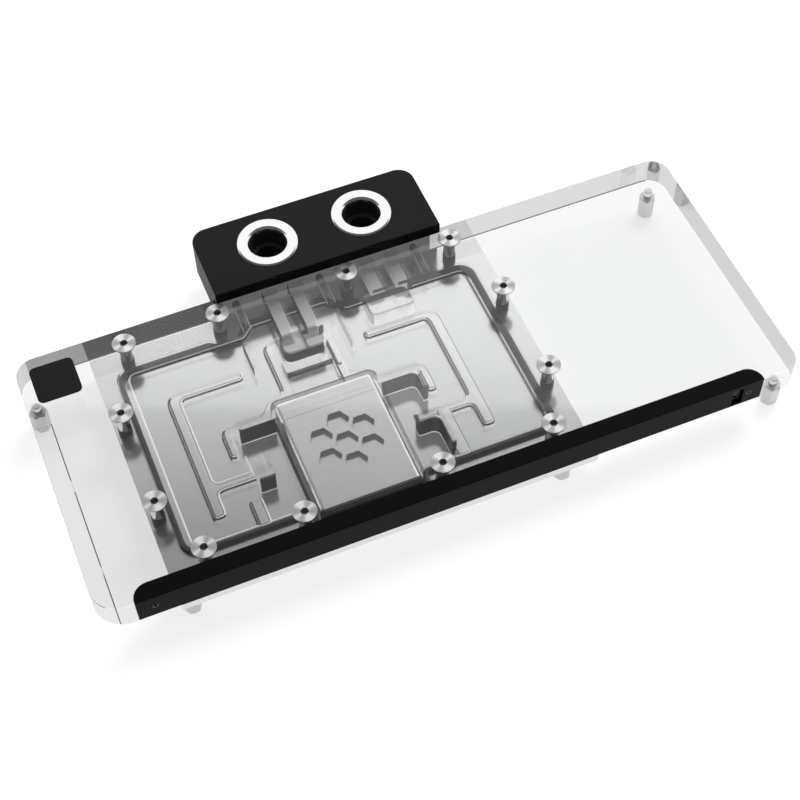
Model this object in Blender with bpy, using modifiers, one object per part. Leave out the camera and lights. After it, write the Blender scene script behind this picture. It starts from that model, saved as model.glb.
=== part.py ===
"""Graphics card water block: clear cover over a nickel plated base plate, fed by a two port terminal.

The frame is in metres, +Z up.  The origin is the middle of the bounding box at floor height.
The floor is where the hexagon standoffs end, which is the plane of the graphics card.
Plan places are measured from the clear cover's left edge and from its back edge.
"""
import math

import bmesh
import bpy
from mathutils import Matrix, Vector

MM = 0.001
GAP = 0.3 * MM              # clearance between pieces that touch
REACH = 2.0 * MM            # how far a cutter runs past an open face

# Clear cover
COVER_LENGTH = 238.0 * MM
COVER_DEPTH = 100.1 * MM
COVER_THICK = 10.5 * MM
COVER_BACK_RADIUS = 6.8 * MM
COVER_LEFT_FRONT_RADIUS = 9.0 * MM
COVER_RIGHT_FRONT_RADIUS = 6.0 * MM
COVER_CHAMFER = 0.35 * MM
CARD_CLEARANCE = 8.5 * MM   # height of the standoffs under the clear cover
RELIEF_WIDTH = 6.0 * MM     # shallow step along the left edge of the underside
RELIEF_START = 20.7 * MM
RELIEF_DEPTH = 1.0 * MM

# Base plate
PLATE_LEFT = 24.3 * MM
PLATE_LENGTH = 141.5 * MM
PLATE_BACK = 0.0 * MM
PLATE_FRONT_MARGIN = 0.2 * MM       # from the cover's front edge
PLATE_THICK = 3.0 * MM
PLATE_CORNER = 1.0 * MM

# Core: the block in the middle, its fins and its jet insert
CORE_MIDDLE = 91.3 * MM     # from the cover's left edge
CORE_FRONT_MARGIN = 9.7 * MM        # from the cover's front edge
CORE_WIDTH = 34.0 * MM
CORE_DEPTH = 45.1 * MM
CORE_HEIGHT = 6.5 * MM
CORE_CORNER = 1.6 * MM
CORE_INNER_CORNER = 0.5 * MM
CORE_CHAMFER = 1.4 * MM
CORE_WALL = 2.6 * MM
CORE_ROOF = 3.0 * MM
CORE_SLOT_DEPTH = 1.8 * MM
CORE_MOAT = 1.5 * MM        # water space round the core's sides and back
CORE_FRONT_MOAT = 0.6 * MM
CELL_FLATS = 7.0 * MM       # hexagon recesses in the core's top: one and a ring of six round it
CELL_PITCH = 8.3 * MM
CELL_RING = 6
FIN_HEIGHT = 2.4 * MM
FIN_THICK = 0.8 * MM
FIN_PITCH = 1.8 * MM
FIN_COUNT = 15
JET_THICK = 0.6 * MM
JET_CORNER = 0.3 * MM
JET_SLOT_LENGTH = 24.0 * MM
JET_SLOT_WIDTH = 1.4 * MM
JET_SLOT_RADIUS = 0.4 * MM
CORE_WINDOW_WIDTH = 22.0 * MM
CORE_WINDOW_HEIGHT = 1.6 * MM

# Contact pads under the base plate
DIE_PAD_SIZE = 36.0 * MM
DIE_PAD_DROP = 3.6 * MM
CHIP_PAD_DROP = 3.0 * MM
CHIP_PAD_WIDTH = 13.0 * MM
CHIP_PAD_LENGTH = 40.0 * MM
CHIP_PAD_OFFSET = 33.0 * MM
POWER_PAD_LENGTH = 34.0 * MM
POWER_PAD_WIDTH = 9.0 * MM
POWER_PAD_INSET = 9.0 * MM

# Water channels in the cover's underside, sideways from the channel axis and forward from the core's back
FLOW_AXIS = 91.4 * MM
SHALLOW = 2.5 * MM
MIDDLE_DEPTH = 4.2 * MM
DEEP = 8.0 * MM
LOOP_OUTER = 48.4 * MM
LOOP_LEG = 4.7 * MM
LOOP_BAR = 3.9 * MM
LOOP_BACK = -19.9 * MM
LOOP_FRONT_BAR = 18.5 * MM
LOOP_END = 31.6 * MM
LOOP_REACH = 21.5 * MM
LOOP_OUTER_RADIUS = 4.5 * MM
LOOP_INNER_RADIUS = 1.8 * MM
STUB_OUTER = 36.5 * MM
STUB_WIDTH = 4.1 * MM
STUB_END = 37.0 * MM
LEFT_STUB_START = 28.9 * MM
PLENUM_HALF = 12.6 * MM
PLENUM_BACK = -21.3 * MM
PLENUM_THROAT = -6.8 * MM
PLENUM_BACK_RADIUS = 1.5 * MM
FLARE_HALF = 17.6 * MM      # where the plenum's sloping sides bend
FLARE_BEND = -4.6 * MM
FLARE_END_HALF = 21.1 * MM
FLARE_RADIUS = 2.0 * MM
RIBBON_BACK = -0.6 * MM
RIBBON_OUTER = 36.0 * MM
RIBBON_WIDTH = 3.6 * MM
RIBBON_END = 12.1 * MM
RIBBON_RADIUS = 3.8 * MM
RIBBON_END_RADIUS = 1.6 * MM
TRENCH_BACK = 2.5 * MM
TRENCH_WIDTH = 3.6 * MM
TRENCH_OUTER = 32.2 * MM
TRENCH_LEG = 1.9 * MM
TRENCH_RADIUS = 0.5 * MM
TONGUE_HALF = 9.65 * MM
TONGUE_BACK = -22.9 * MM
TONGUE_FRONT = -2.8 * MM
TONGUE_RADIUS = 2.6 * MM
LEFT_WELL = (25.6 * MM, 31.3 * MM, 18.5 * MM, 25.7 * MM)
RIGHT_WELL = (23.5 * MM, 32.2 * MM, 22.1 * MM, 25.7 * MM)
RIGHT_WELL_END = 37.0 * MM
SMALL_WELL_RADIUS = 0.8 * MM
WELL_RADIUS = 2.5 * MM

# Wells in front of the ports and slits beside them, from the cover's left and back edges
INLET_WELL = (84.0 * MM, 99.6 * MM, 20.0 * MM, 31.0 * MM)
OUTLET_WELL = (117.5 * MM, 134.0 * MM, 13.0 * MM, 24.5 * MM)
SLIT_WIDTH = 1.3 * MM
SLIT_DEPTH = 5.0 * MM
LEFT_SLIT = (74.1 * MM, 16.0 * MM, 28.0 * MM)
RIGHT_SLIT = (108.2 * MM, 15.0 * MM, 30.0 * MM)

# Main seal: its middle line is tied to the base plate's edges
SEAL_THICK = 2.1 * MM
SEAL_LEFT_INSET = 7.2 * MM
SEAL_RIGHT_INSET = 7.8 * MM
SEAL_BACK_LEFT = 10.0 * MM
SEAL_BACK_DIP = 12.2 * MM
SEAL_BACK_MIDDLE = 8.2 * MM
SEAL_BACK_RIGHT = 11.7 * MM
SEAL_FRONT_MARGIN = 15.4 * MM       # from the cover's front edge
SEAL_DIP_HALF = 5.0 * MM    # half the length of the dip round the second screw
SEAL_STEP_BEFORE = 8.0 * MM # from the last step to the third screw
SEAL_SLOPE = 2.5 * MM
SEAL_CORNER = 5.0 * MM
SEAL_BEND = 1.8 * MM
SEAL_CORE_SIDE = 1.5 * MM   # seal's middle line past the core's left face
SEAL_CORE_FAR_SIDE = 2.4 * MM
SEAL_CORE_FRONT = 1.9 * MM
SEAL_ROOM = 2.0 * MM        # extra groove width on the water side

# Terminal block behind the cover
TERMINAL_LEFT = 70.05 * MM
TERMINAL_LENGTH = 81.45 * MM
TERMINAL_DEPTH = 27.3 * MM
TERMINAL_LIP = 2.4 * MM     # lip that rests over the cover's top
TERMINAL_RISE = 4.5 * MM    # block's top over the cover's top
TERMINAL_BELOW = 10.5 * MM  # block's bottom under the cover's top
TERMINAL_CORNER = 5.8 * MM
TERMINAL_CHAMFER = 0.4 * MM
PORT_BACK = 13.1 * MM       # port axis behind the cover's back edge
PORT_PLACES = (94.0 * MM, 128.4 * MM)
PORT_BORE_RADIUS = 6.2 * MM
PORT_BORE_DEPTH = 7.0 * MM
PORT_HOLE_RADIUS = 4.4 * MM
PORT_FLOOR = 1.2 * MM
RING_RADIUS = 10.5 * MM
RING_MOUTH_RADIUS = 6.4 * MM
RING_THICK = 1.5 * MM
RING_PROUD = 0.3 * MM
RING_CHAMFER = 0.3 * MM
CHANNEL_RADIUS = 2.7 * MM
CHANNEL_SPREAD = 4.5 * MM   # half the distance between the two channels of a port
CHANNEL_MIDDLES = (92.75 * MM, 127.5 * MM)
CHANNEL_DROP = 5.4 * MM     # channel axis under the cover's top
TERMINAL_SEAL_THICK = 1.2 * MM
TERMINAL_SEAL_HALF_LENGTH = 9.2 * MM
TERMINAL_SEAL_HALF_HEIGHT = 3.7 * MM
TERMINAL_SCREW_PLACES = (77.0 * MM, 107.2 * MM, 142.0 * MM)
TERMINAL_SCREW_RADIUS = 1.3 * MM
TERMINAL_SCREW_HEAD = 2.75 * MM
TERMINAL_SCREW_HEAD_THICK = 3.0 * MM
TERMINAL_SCREW_SOCKET = 2.5 * MM
TERMINAL_SCREW_SOCKET_DEPTH = 1.6 * MM
TERMINAL_SCREW_GRIP = 4.0 * MM
TERMINAL_SCREW_BORE = 12.5 * MM

# Cover screws
SCREW_HEAD_RADIUS = 3.95 * MM
SCREW_RADIUS = 2.0 * MM
SCREW_HEAD_RIM = 0.3 * MM
SCREW_SOCKET = 2.5 * MM     # across the flats
SCREW_SOCKET_DEPTH = 1.6 * MM
SCREW_FIRST_COLUMN = 12.2 * MM      # from the base plate's left edge
SCREW_SECOND_COLUMN = 44.8 * MM
SCREW_THIRD_COLUMN = 91.0 * MM
SCREW_LAST_INSET = 12.2 * MM        # from the base plate's right edge
SCREW_BACK_ROW = 5.65 * MM
SCREW_FRONT_MARGIN = 10.7 * MM      # from the cover's front edge
SCREW_LEFT_INSET = 3.25 * MM
SCREW_RIGHT_INSET = 3.8 * MM
SCREW_SIDE_BACK = 32.2 * MM
SCREW_SIDE_FRONT_MARGIN = 32.1 * MM

# Light strip cover along the front edge
STRIP_LEFT = 11.4 * MM
STRIP_RIGHT_MARGIN = 14.2 * MM
STRIP_DEPTH = 5.9 * MM
STRIP_CORNER = 5.2 * MM
LAMP_CHANNEL_DEPTH = 3.0 * MM
LAMP_CHANNEL_HEIGHT = 6.5 * MM
LAMP_CHANNEL_INSET = 10.0 * MM
LAMP_CHANNEL_STOP = 20.0 * MM
BOARD_THICK = 0.5 * MM
BOARD_MARGIN = 1.0 * MM
LAMP_SIZE = 2.8 * MM
LAMP_RISE = 1.2 * MM
LAMP_PITCH = 16.6 * MM
SOCKET_WIDTH = 4.3 * MM
SOCKET_DEPTH = 3.0 * MM
SOCKET_INSET = 8.9 * MM     # socket's middle from the strip's right end
SOCKET_SLOT = 1.0 * MM
STRIP_SCREW_LEFT_INSET = 5.85 * MM
STRIP_SCREW_RIGHT_INSET = 4.9 * MM
STRIP_SCREW_SOCKET = 1.0 * MM
STRIP_SCREW_SOCKET_DEPTH = 0.5 * MM
STRIP_SCREW_HEAD = 1.1 * MM
STRIP_SCREW_HEAD_THICK = 0.8 * MM
STRIP_SCREW_RADIUS = 0.7 * MM
STRIP_SCREW_GRIP = 2.6 * MM

# Badge
BADGE_SIZE = 14.7 * MM
BADGE_LEFT = 4.3 * MM
BADGE_BACK = 4.6 * MM
BADGE_CORNER = 2.0 * MM
BADGE_THICK = 0.4 * MM

# Hexagon standoffs
STANDOFF_FLATS = 5.3 * MM
STUD_RADIUS = 1.25 * MM
STUD_LENGTH = 2.6 * MM
PLATE_STUD_LENGTH = 1.9 * MM
STANDOFF_BORE_RADIUS = 1.1 * MM
STANDOFF_BORE_DEPTH = 3.6 * MM
STANDOFF_RIGHT_INSET = 7.4 * MM
STANDOFF_FRONT_INSET = 3.2 * MM
STANDOFF_BACK_INSET = 7.2 * MM
STANDOFF_LEFT_INSET = 3.1 * MM
STANDOFF_LEFT_BACK = 13.4 * MM
PLATE_STANDOFF_LEFT_INSET = 4.1 * MM
PLATE_STANDOFF_RIGHT_INSET = 11.7 * MM
PLATE_STANDOFF_FRONT_INSET = 3.1 * MM
PLATE_STANDOFF_BACK_INSET = 14.2 * MM

# Heights over the floor
COVER_BOTTOM = CARD_CLEARANCE + GAP
COVER_TOP = COVER_BOTTOM + COVER_THICK
PLATE_TOP = COVER_BOTTOM - GAP
PLATE_BOTTOM = PLATE_TOP - PLATE_THICK
CORE_BOTTOM = PLATE_TOP + GAP
CORE_TOP = CORE_BOTTOM + CORE_HEIGHT
JET_BOTTOM = PLATE_TOP + FIN_HEIGHT + GAP
CORE_CEILING = CORE_TOP - CORE_ROOF
TERMINAL_TOP = COVER_TOP + TERMINAL_RISE
TERMINAL_BOTTOM = COVER_TOP - TERMINAL_BELOW
CHANNEL_HEIGHT = COVER_TOP - CHANNEL_DROP
SEAL_HEIGHT = PLATE_TOP + GAP + SEAL_THICK / 2.0

# Plan places that follow from the driving sizes
LEFT_EDGE = -COVER_LENGTH / 2.0
BACK_EDGE = (COVER_DEPTH + TERMINAL_DEPTH) / 2.0 - TERMINAL_DEPTH
PLATE_RIGHT = PLATE_LEFT + PLATE_LENGTH
PLATE_FRONT = COVER_DEPTH - PLATE_FRONT_MARGIN
CORE_FRONT = COVER_DEPTH - CORE_FRONT_MARGIN
CORE_BACK = CORE_FRONT - CORE_DEPTH
SEAL_FRONT = COVER_DEPTH - SEAL_FRONT_MARGIN
SCREW_FRONT_ROW = COVER_DEPTH - SCREW_FRONT_MARGIN
SCREW_SIDE_ROWS = (SCREW_SIDE_BACK, COVER_DEPTH - SCREW_SIDE_FRONT_MARGIN)
TERMINAL_RIGHT = TERMINAL_LEFT + TERMINAL_LENGTH
STRIP_RIGHT = COVER_LENGTH - STRIP_RIGHT_MARGIN
STRIP_BACK = COVER_DEPTH - STRIP_DEPTH

SCREW_STEPS = 20
PORT_STEPS = 32
SMALL_STEPS = 12
SAME_HEIGHT = 0.01 * MM     # how near two heights count as one


def clear_scene():
    for item in list(bpy.data.objects):
        bpy.data.objects.remove(item)


def new_collection(name):
    collection = bpy.data.collections.new(name)
    bpy.context.scene.collection.children.link(collection)
    return collection


clear_scene()
PARTS = new_collection("water_block")
CUTTERS = new_collection("cutters")


def material(name, color, roughness, metallic=0.0, alpha=1.0):
    made = bpy.data.materials.new(name)
    made.use_nodes = True
    shader = made.node_tree.nodes["Principled BSDF"]
    shader.inputs["Base Color"].default_value = (*color, 1.0)
    shader.inputs["Roughness"].default_value = roughness
    shader.inputs["Metallic"].default_value = metallic
    shader.inputs["Alpha"].default_value = alpha
    return made


def place(x, y, z=0.0):
    """Point of the frame, from distances to the cover's left and back edges and a height."""
    return Vector((LEFT_EDGE + x, BACK_EDGE - y, z))


def mesh_object(name, mesh, cutter=False):
    made = bpy.data.objects.new(name, mesh)
    if cutter:
        made.display_type = 'WIRE'
        made.hide_render = True
        CUTTERS.objects.link(made)
    else:
        PARTS.objects.link(made)
    return made


def from_bmesh(name, shape, cutter=False):
    mesh = bpy.data.meshes.new(name)
    shape.to_mesh(mesh)
    shape.free()
    return mesh_object(name, mesh, cutter)


def corner_arc(before, corner, after, radius, steps):
    """Points that round one corner of an outline."""
    if radius <= 0.0:
        return [corner]
    to_before = (before - corner).normalized()
    to_after = (after - corner).normalized()
    half = to_before.angle(to_after) / 2.0
    centre = corner + (to_before + to_after).normalized() * radius / math.sin(half)
    start = corner + to_before * radius / math.tan(half) - centre
    turn = math.copysign(math.pi - 2.0 * half, to_after.x * to_before.y - to_after.y * to_before.x)
    points = []
    for step in range(steps + 1):
        angle = turn * step / steps
        points.append(centre + Vector((
            start.x * math.cos(angle) - start.y * math.sin(angle),
            start.x * math.sin(angle) + start.y * math.cos(angle))))
    return points


def rounded(corners, steps=3):
    """Closed outline from corners (x, y, radius)."""
    flat = [Vector((x, y)) for x, y, radius in corners]
    points = []
    for index, (x, y, radius) in enumerate(corners):
        after = flat[(index + 1) % len(flat)]
        points += corner_arc(flat[index - 1], flat[index], after, radius, steps)
    return points


def offset(corners, distances):
    """Corners of an outline whose edges moved outward; edge i runs from corner i to the next."""
    count = len(corners)
    flat = [Vector((x, y)) for x, y, radius in corners]
    area = sum(flat[i - 1].cross(flat[i]) for i in range(count))
    side = math.copysign(1.0, area)
    along = [(flat[(i + 1) % count] - flat[i]).normalized() for i in range(count)]
    moved = []
    for i in range(count):
        turn = along[i - 1].cross(along[i]) * side
        first = flat[i] + Vector((along[i - 1].y, -along[i - 1].x)) * side * distances[i - 1]
        second = flat[i] + Vector((along[i].y, -along[i].x)) * side * distances[i]
        shift = (second - first).cross(along[i]) / along[i - 1].cross(along[i])
        point = first + along[i - 1] * shift
        grown = (distances[i - 1] + distances[i]) / 2.0 * math.copysign(1.0, turn)
        moved.append((point.x, point.y, max(corners[i][2] + grown, 0.0) if corners[i][2] else 0.0))
    return moved


def box_corners(left, right, back, front, radius=0.0):
    return [(left, back, radius), (right, back, radius), (right, front, radius), (left, front, radius)]


def outline_solid(name, loops, low, high, turn=None, cutter=False):
    """Solid between two heights; the first loop is its outside and any others are holes in it."""
    curve = bpy.data.curves.new(name, 'CURVE')
    curve.dimensions = '2D'
    curve.fill_mode = 'BOTH'
    curve.extrude = (high - low) / 2.0
    for loop in loops:
        spline = curve.splines.new('POLY')
        spline.points.add(len(loop) - 1)
        for point, target in zip(spline.points, loop):
            point.co = (target.x, target.y, 0.0, 1.0)
        spline.use_cyclic_u = True
    rise = Matrix.Translation((0.0, 0.0, (low + high) / 2.0))
    return curve_solid(name, curve, (turn or Matrix()) @ rise, cutter)


def curve_solid(name, curve, world, cutter=False):
    """Mesh object made from a curve, with its caps welded."""
    guide = bpy.data.objects.new(name + "_curve", curve)
    PARTS.objects.link(guide)
    guide.matrix_world = world
    evaluated = guide.evaluated_get(bpy.context.evaluated_depsgraph_get())
    mesh = bpy.data.meshes.new_from_object(evaluated)
    shape = bmesh.new()
    shape.from_mesh(mesh)
    bmesh.ops.remove_doubles(shape, verts=shape.verts, dist=0.001 * MM)
    bmesh.ops.recalc_face_normals(shape, faces=shape.faces)
    shape.to_mesh(mesh)
    shape.free()
    bpy.data.objects.remove(guide)
    made = mesh_object(name, mesh, cutter)
    made.matrix_world = world
    return made


def plan(corners, steps=3):
    """Closed outline in the frame from corners measured on the cover."""
    return [place(x, y).xy for x, y in rounded(corners, steps)]


def plan_solid(name, corners, low, high, steps=3, holes=(), cutter=False):
    loops = [plan(corners, steps)] + [plan(hole, steps) for hole in holes]
    return outline_solid(name, loops, low, high, cutter=cutter)


def cylinder(name, radius, start, end, steps, cutter=False):
    """Round bar between two points."""
    shape = bmesh.new()
    run = end - start
    middle = Matrix.Translation((start + end) / 2.0) @ run.to_track_quat('Z', 'Y').to_matrix().to_4x4()
    bmesh.ops.create_cone(shape, cap_ends=True, segments=steps, radius1=radius, radius2=radius,
                          depth=run.length, matrix=middle)
    return from_bmesh(name, shape, cutter)


def box(name, low, high, cutter=False):
    shape = bmesh.new()
    size = high - low
    bmesh.ops.create_cube(shape, size=1.0, matrix=Matrix.Translation((low + high) / 2.0)
                          @ Matrix.Diagonal((size.x, size.y, size.z, 1.0)))
    return from_bmesh(name, shape, cutter)


def plan_box(name, left, right, back, front, low, high, cutter=False):
    """Box from distances to the cover's left and back edges, and two heights."""
    return box(name, place(left, front, low), place(right, back, high), cutter)


def turned(name, profile, steps, centre=(0.0, 0.0, 0.0), cutter=False):
    """Solid of revolution from (radius, height) points that run down its outer side."""
    shape = bmesh.new()
    verts = [shape.verts.new((radius, 0.0, height)) for radius, height in profile]
    for first, second in zip(verts, verts[1:]):
        shape.edges.new((first, second))
    if profile[0][0] > 0.0:
        shape.edges.new((verts[-1], verts[0]))
    made = from_bmesh(name, shape, cutter)
    made.location = centre
    spin = made.modifiers.new("spin", 'SCREW')
    spin.steps = steps
    spin.render_steps = steps
    spin.use_merge_vertices = True
    spin.merge_threshold = 0.001 * MM
    return made


def hexagon(name, flats, low, high, centre, cutter=False, turn=0.0):
    """Hexagon bar between two heights."""
    shape = bmesh.new()
    radius = flats / 2.0 / math.cos(math.pi / 6.0)
    spot = Matrix.Translation((centre.x, centre.y, (low + high) / 2.0)) @ Matrix.Rotation(turn, 4, 'Z')
    bmesh.ops.create_cone(shape, cap_ends=True, segments=6, radius1=radius, radius2=radius,
                          depth=high - low, matrix=spot)
    return from_bmesh(name, shape, cutter)


def apply_boolean(target, tool, operation):
    change = target.modifiers.new(tool.name, 'BOOLEAN')
    change.operation = operation
    change.solver = 'EXACT'
    change.object = tool


def carve(target, *tools):
    for tool in tools:
        apply_boolean(target, tool, 'DIFFERENCE')


def join(target, *tools):
    for tool in tools:
        apply_boolean(target, tool, 'UNION')


def chamfer_top(target, width):
    """Chamfer along the top rim only."""
    mesh = target.data
    shape = bmesh.new()
    shape.from_mesh(mesh)
    top = max(vert.co.z for vert in shape.verts)
    weights = shape.edges.layers.float.new("bevel_weight_edge")
    for edge in shape.edges:
        on_top = all(abs(vert.co.z - top) < SAME_HEIGHT for vert in edge.verts)
        edge[weights] = 1.0 if on_top and edge.calc_face_angle(0.0) > math.radians(45.0) else 0.0
    shape.to_mesh(mesh)
    shape.free()
    bevel = target.modifiers.new("chamfer", 'BEVEL')
    bevel.limit_method = 'WEIGHT'
    bevel.offset_type = 'OFFSET'
    bevel.width = width
    bevel.segments = 1


def finish(target, look, smooth=30.0):
    target.data.materials.clear()
    target.data.materials.append(look)
    if smooth:
        target.data.shade_smooth()
        target.data.set_sharp_from_angle(angle=math.radians(smooth))


def final_mesh(target):
    """Mesh of an object with its modifiers applied, for pieces that repeat."""
    evaluated = target.evaluated_get(bpy.context.evaluated_depsgraph_get())
    return bpy.data.meshes.new_from_object(evaluated)


def copies(pattern, names, spots, look):
    """One object of the pattern's shape at each spot; the pattern itself goes away."""
    mesh = final_mesh(pattern)
    mesh.transform(pattern.matrix_world)
    bpy.data.objects.remove(pattern)
    for name, spot in zip(names, spots):
        made = mesh_object(name, mesh)
        made.location = spot
        finish(made, look)


def screw_places():
    """Cover screw axes: back row, front row, left column and right column."""
    columns = (PLATE_LEFT + SCREW_FIRST_COLUMN, PLATE_LEFT + SCREW_SECOND_COLUMN,
               PLATE_LEFT + SCREW_THIRD_COLUMN, PLATE_RIGHT - SCREW_LAST_INSET)
    places = [(x, SCREW_BACK_ROW) for x in columns]
    places += [(x, SCREW_FRONT_ROW) for x in columns]
    places += [(PLATE_LEFT + SCREW_LEFT_INSET, y) for y in SCREW_SIDE_ROWS]
    places += [(PLATE_RIGHT - SCREW_RIGHT_INSET, y) for y in SCREW_SIDE_ROWS]
    return places


def cover_standoff_places():
    return [(COVER_LENGTH - STANDOFF_RIGHT_INSET, COVER_DEPTH - STANDOFF_FRONT_INSET),
            (COVER_LENGTH - STANDOFF_RIGHT_INSET, STANDOFF_BACK_INSET),
            (STANDOFF_LEFT_INSET, STANDOFF_LEFT_BACK)]


def plate_standoff_places():
    columns = (PLATE_LEFT + PLATE_STANDOFF_LEFT_INSET, PLATE_RIGHT - PLATE_STANDOFF_RIGHT_INSET)
    rows = (PLATE_FRONT - PLATE_STANDOFF_FRONT_INSET, PLATE_BACK + PLATE_STANDOFF_BACK_INSET)
    return [(x, y) for y in rows for x in columns]


def strip_screw_places():
    return (STRIP_LEFT + STRIP_SCREW_LEFT_INSET, STRIP_RIGHT - STRIP_SCREW_RIGHT_INSET)


def seal_corners():
    """Middle line of the main seal, which steps round the screws and round the core's front."""
    left = PLATE_LEFT + SEAL_LEFT_INSET
    right = PLATE_RIGHT - SEAL_RIGHT_INSET
    core_left = CORE_MIDDLE - CORE_WIDTH / 2.0 - SEAL_CORE_SIDE
    core_right = CORE_MIDDLE + CORE_WIDTH / 2.0 + SEAL_CORE_FAR_SIDE
    core_front = CORE_FRONT + SEAL_CORE_FRONT
    screw = PLATE_LEFT + SCREW_SECOND_COLUMN
    dip_left = screw - SEAL_DIP_HALF
    dip_right = screw + SEAL_DIP_HALF
    far = PLATE_LEFT + SCREW_THIRD_COLUMN - SEAL_STEP_BEFORE
    return [(left, SEAL_BACK_LEFT, SEAL_CORNER),
            (dip_left - SEAL_SLOPE, SEAL_BACK_LEFT, SEAL_BEND), (dip_left, SEAL_BACK_DIP, SEAL_BEND),
            (dip_right, SEAL_BACK_DIP, SEAL_BEND),
            (dip_right + 2.0 * SEAL_SLOPE, SEAL_BACK_MIDDLE, SEAL_BEND),
            (far, SEAL_BACK_MIDDLE, SEAL_BEND), (far + 2.0 * SEAL_SLOPE, SEAL_BACK_RIGHT, SEAL_BEND),
            (right, SEAL_BACK_RIGHT, SEAL_CORNER), (right, SEAL_FRONT, SEAL_CORNER),
            (core_right, SEAL_FRONT, SEAL_BEND), (core_right, core_front, SEAL_BEND),
            (core_left, core_front, SEAL_BEND), (core_left, SEAL_FRONT, SEAL_BEND),
            (left, SEAL_FRONT, SEAL_CORNER)]


def strip_corners():
    return [(STRIP_LEFT, COVER_DEPTH, 0.0), (STRIP_RIGHT, COVER_DEPTH, 0.0),
            (STRIP_RIGHT, STRIP_BACK, STRIP_CORNER), (STRIP_LEFT, STRIP_BACK, STRIP_CORNER)]


def sideways(side, amount):
    """Distance from the cover's left edge of a place on one side of the channel axis."""
    return FLOW_AXIS + side * amount


def from_core(corners):
    """Corners whose second value was the distance forward from the core's back."""
    return [(x, CORE_BACK + y, radius) for x, y, radius in corners]


def loop_corners(side):
    """Shallow channel that runs round one side, like a bracket."""
    bar_front = LOOP_BACK + LOOP_BAR
    low_front = LOOP_FRONT_BAR + LOOP_BAR
    outer = sideways(side, LOOP_OUTER)
    inner = sideways(side, LOOP_OUTER - LOOP_LEG)
    end = sideways(side, LOOP_REACH)
    link = sideways(side, TRENCH_OUTER - TRENCH_LEG)
    small = LOOP_INNER_RADIUS
    return from_core([(end, LOOP_BACK, small), (outer, LOOP_BACK, LOOP_OUTER_RADIUS),
                      (outer, LOOP_END, small),
                      (inner, LOOP_END, small), (inner, low_front, small), (link, low_front, 0.0),
                      (link, LOOP_FRONT_BAR, 0.0), (inner, LOOP_FRONT_BAR, small), (inner, bar_front, small),
                      (end, bar_front, small)])


def plenum_corners():
    """Shallow space in front of the inlet, with a ribbon to each side."""
    ribbon_inner = RIBBON_OUTER - RIBBON_WIDTH
    throat = [(PLENUM_HALF, PLENUM_BACK, PLENUM_BACK_RADIUS), (PLENUM_HALF, PLENUM_THROAT, FLARE_RADIUS),
              (FLARE_HALF, FLARE_BEND, FLARE_RADIUS), (FLARE_END_HALF, RIBBON_BACK, FLARE_RADIUS),
              (RIBBON_OUTER, RIBBON_BACK, RIBBON_RADIUS), (RIBBON_OUTER, RIBBON_END, RIBBON_END_RADIUS),
              (ribbon_inner, RIBBON_END, RIBBON_END_RADIUS),
              (ribbon_inner, TRENCH_BACK + TRENCH_WIDTH / 2.0, 0.0)]
    right = [(sideways(1.0, amount), y, radius) for amount, y, radius in throat]
    left = [(sideways(-1.0, amount), y, radius) for amount, y, radius in reversed(throat)]
    return from_core(right + left)


def trench_corners():
    """Deep cross channel with a narrow leg at each end."""
    front = TRENCH_BACK + TRENCH_WIDTH
    inner = TRENCH_OUTER - TRENCH_LEG
    legs = {1.0: RIGHT_WELL[2] + WELL_RADIUS, -1.0: LEFT_WELL[2] + WELL_RADIUS}
    return from_core([
        (sideways(-1.0, TRENCH_OUTER), TRENCH_BACK, TRENCH_RADIUS),
        (sideways(1.0, TRENCH_OUTER), TRENCH_BACK, TRENCH_RADIUS),
        (sideways(1.0, TRENCH_OUTER), legs[1.0], TRENCH_RADIUS), (sideways(1.0, inner), legs[1.0], 0.0),
        (sideways(1.0, inner), front, WELL_RADIUS), (sideways(-1.0, inner), front, WELL_RADIUS),
        (sideways(-1.0, inner), legs[-1.0], 0.0), (sideways(-1.0, TRENCH_OUTER), legs[-1.0], TRENCH_RADIUS)])


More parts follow.
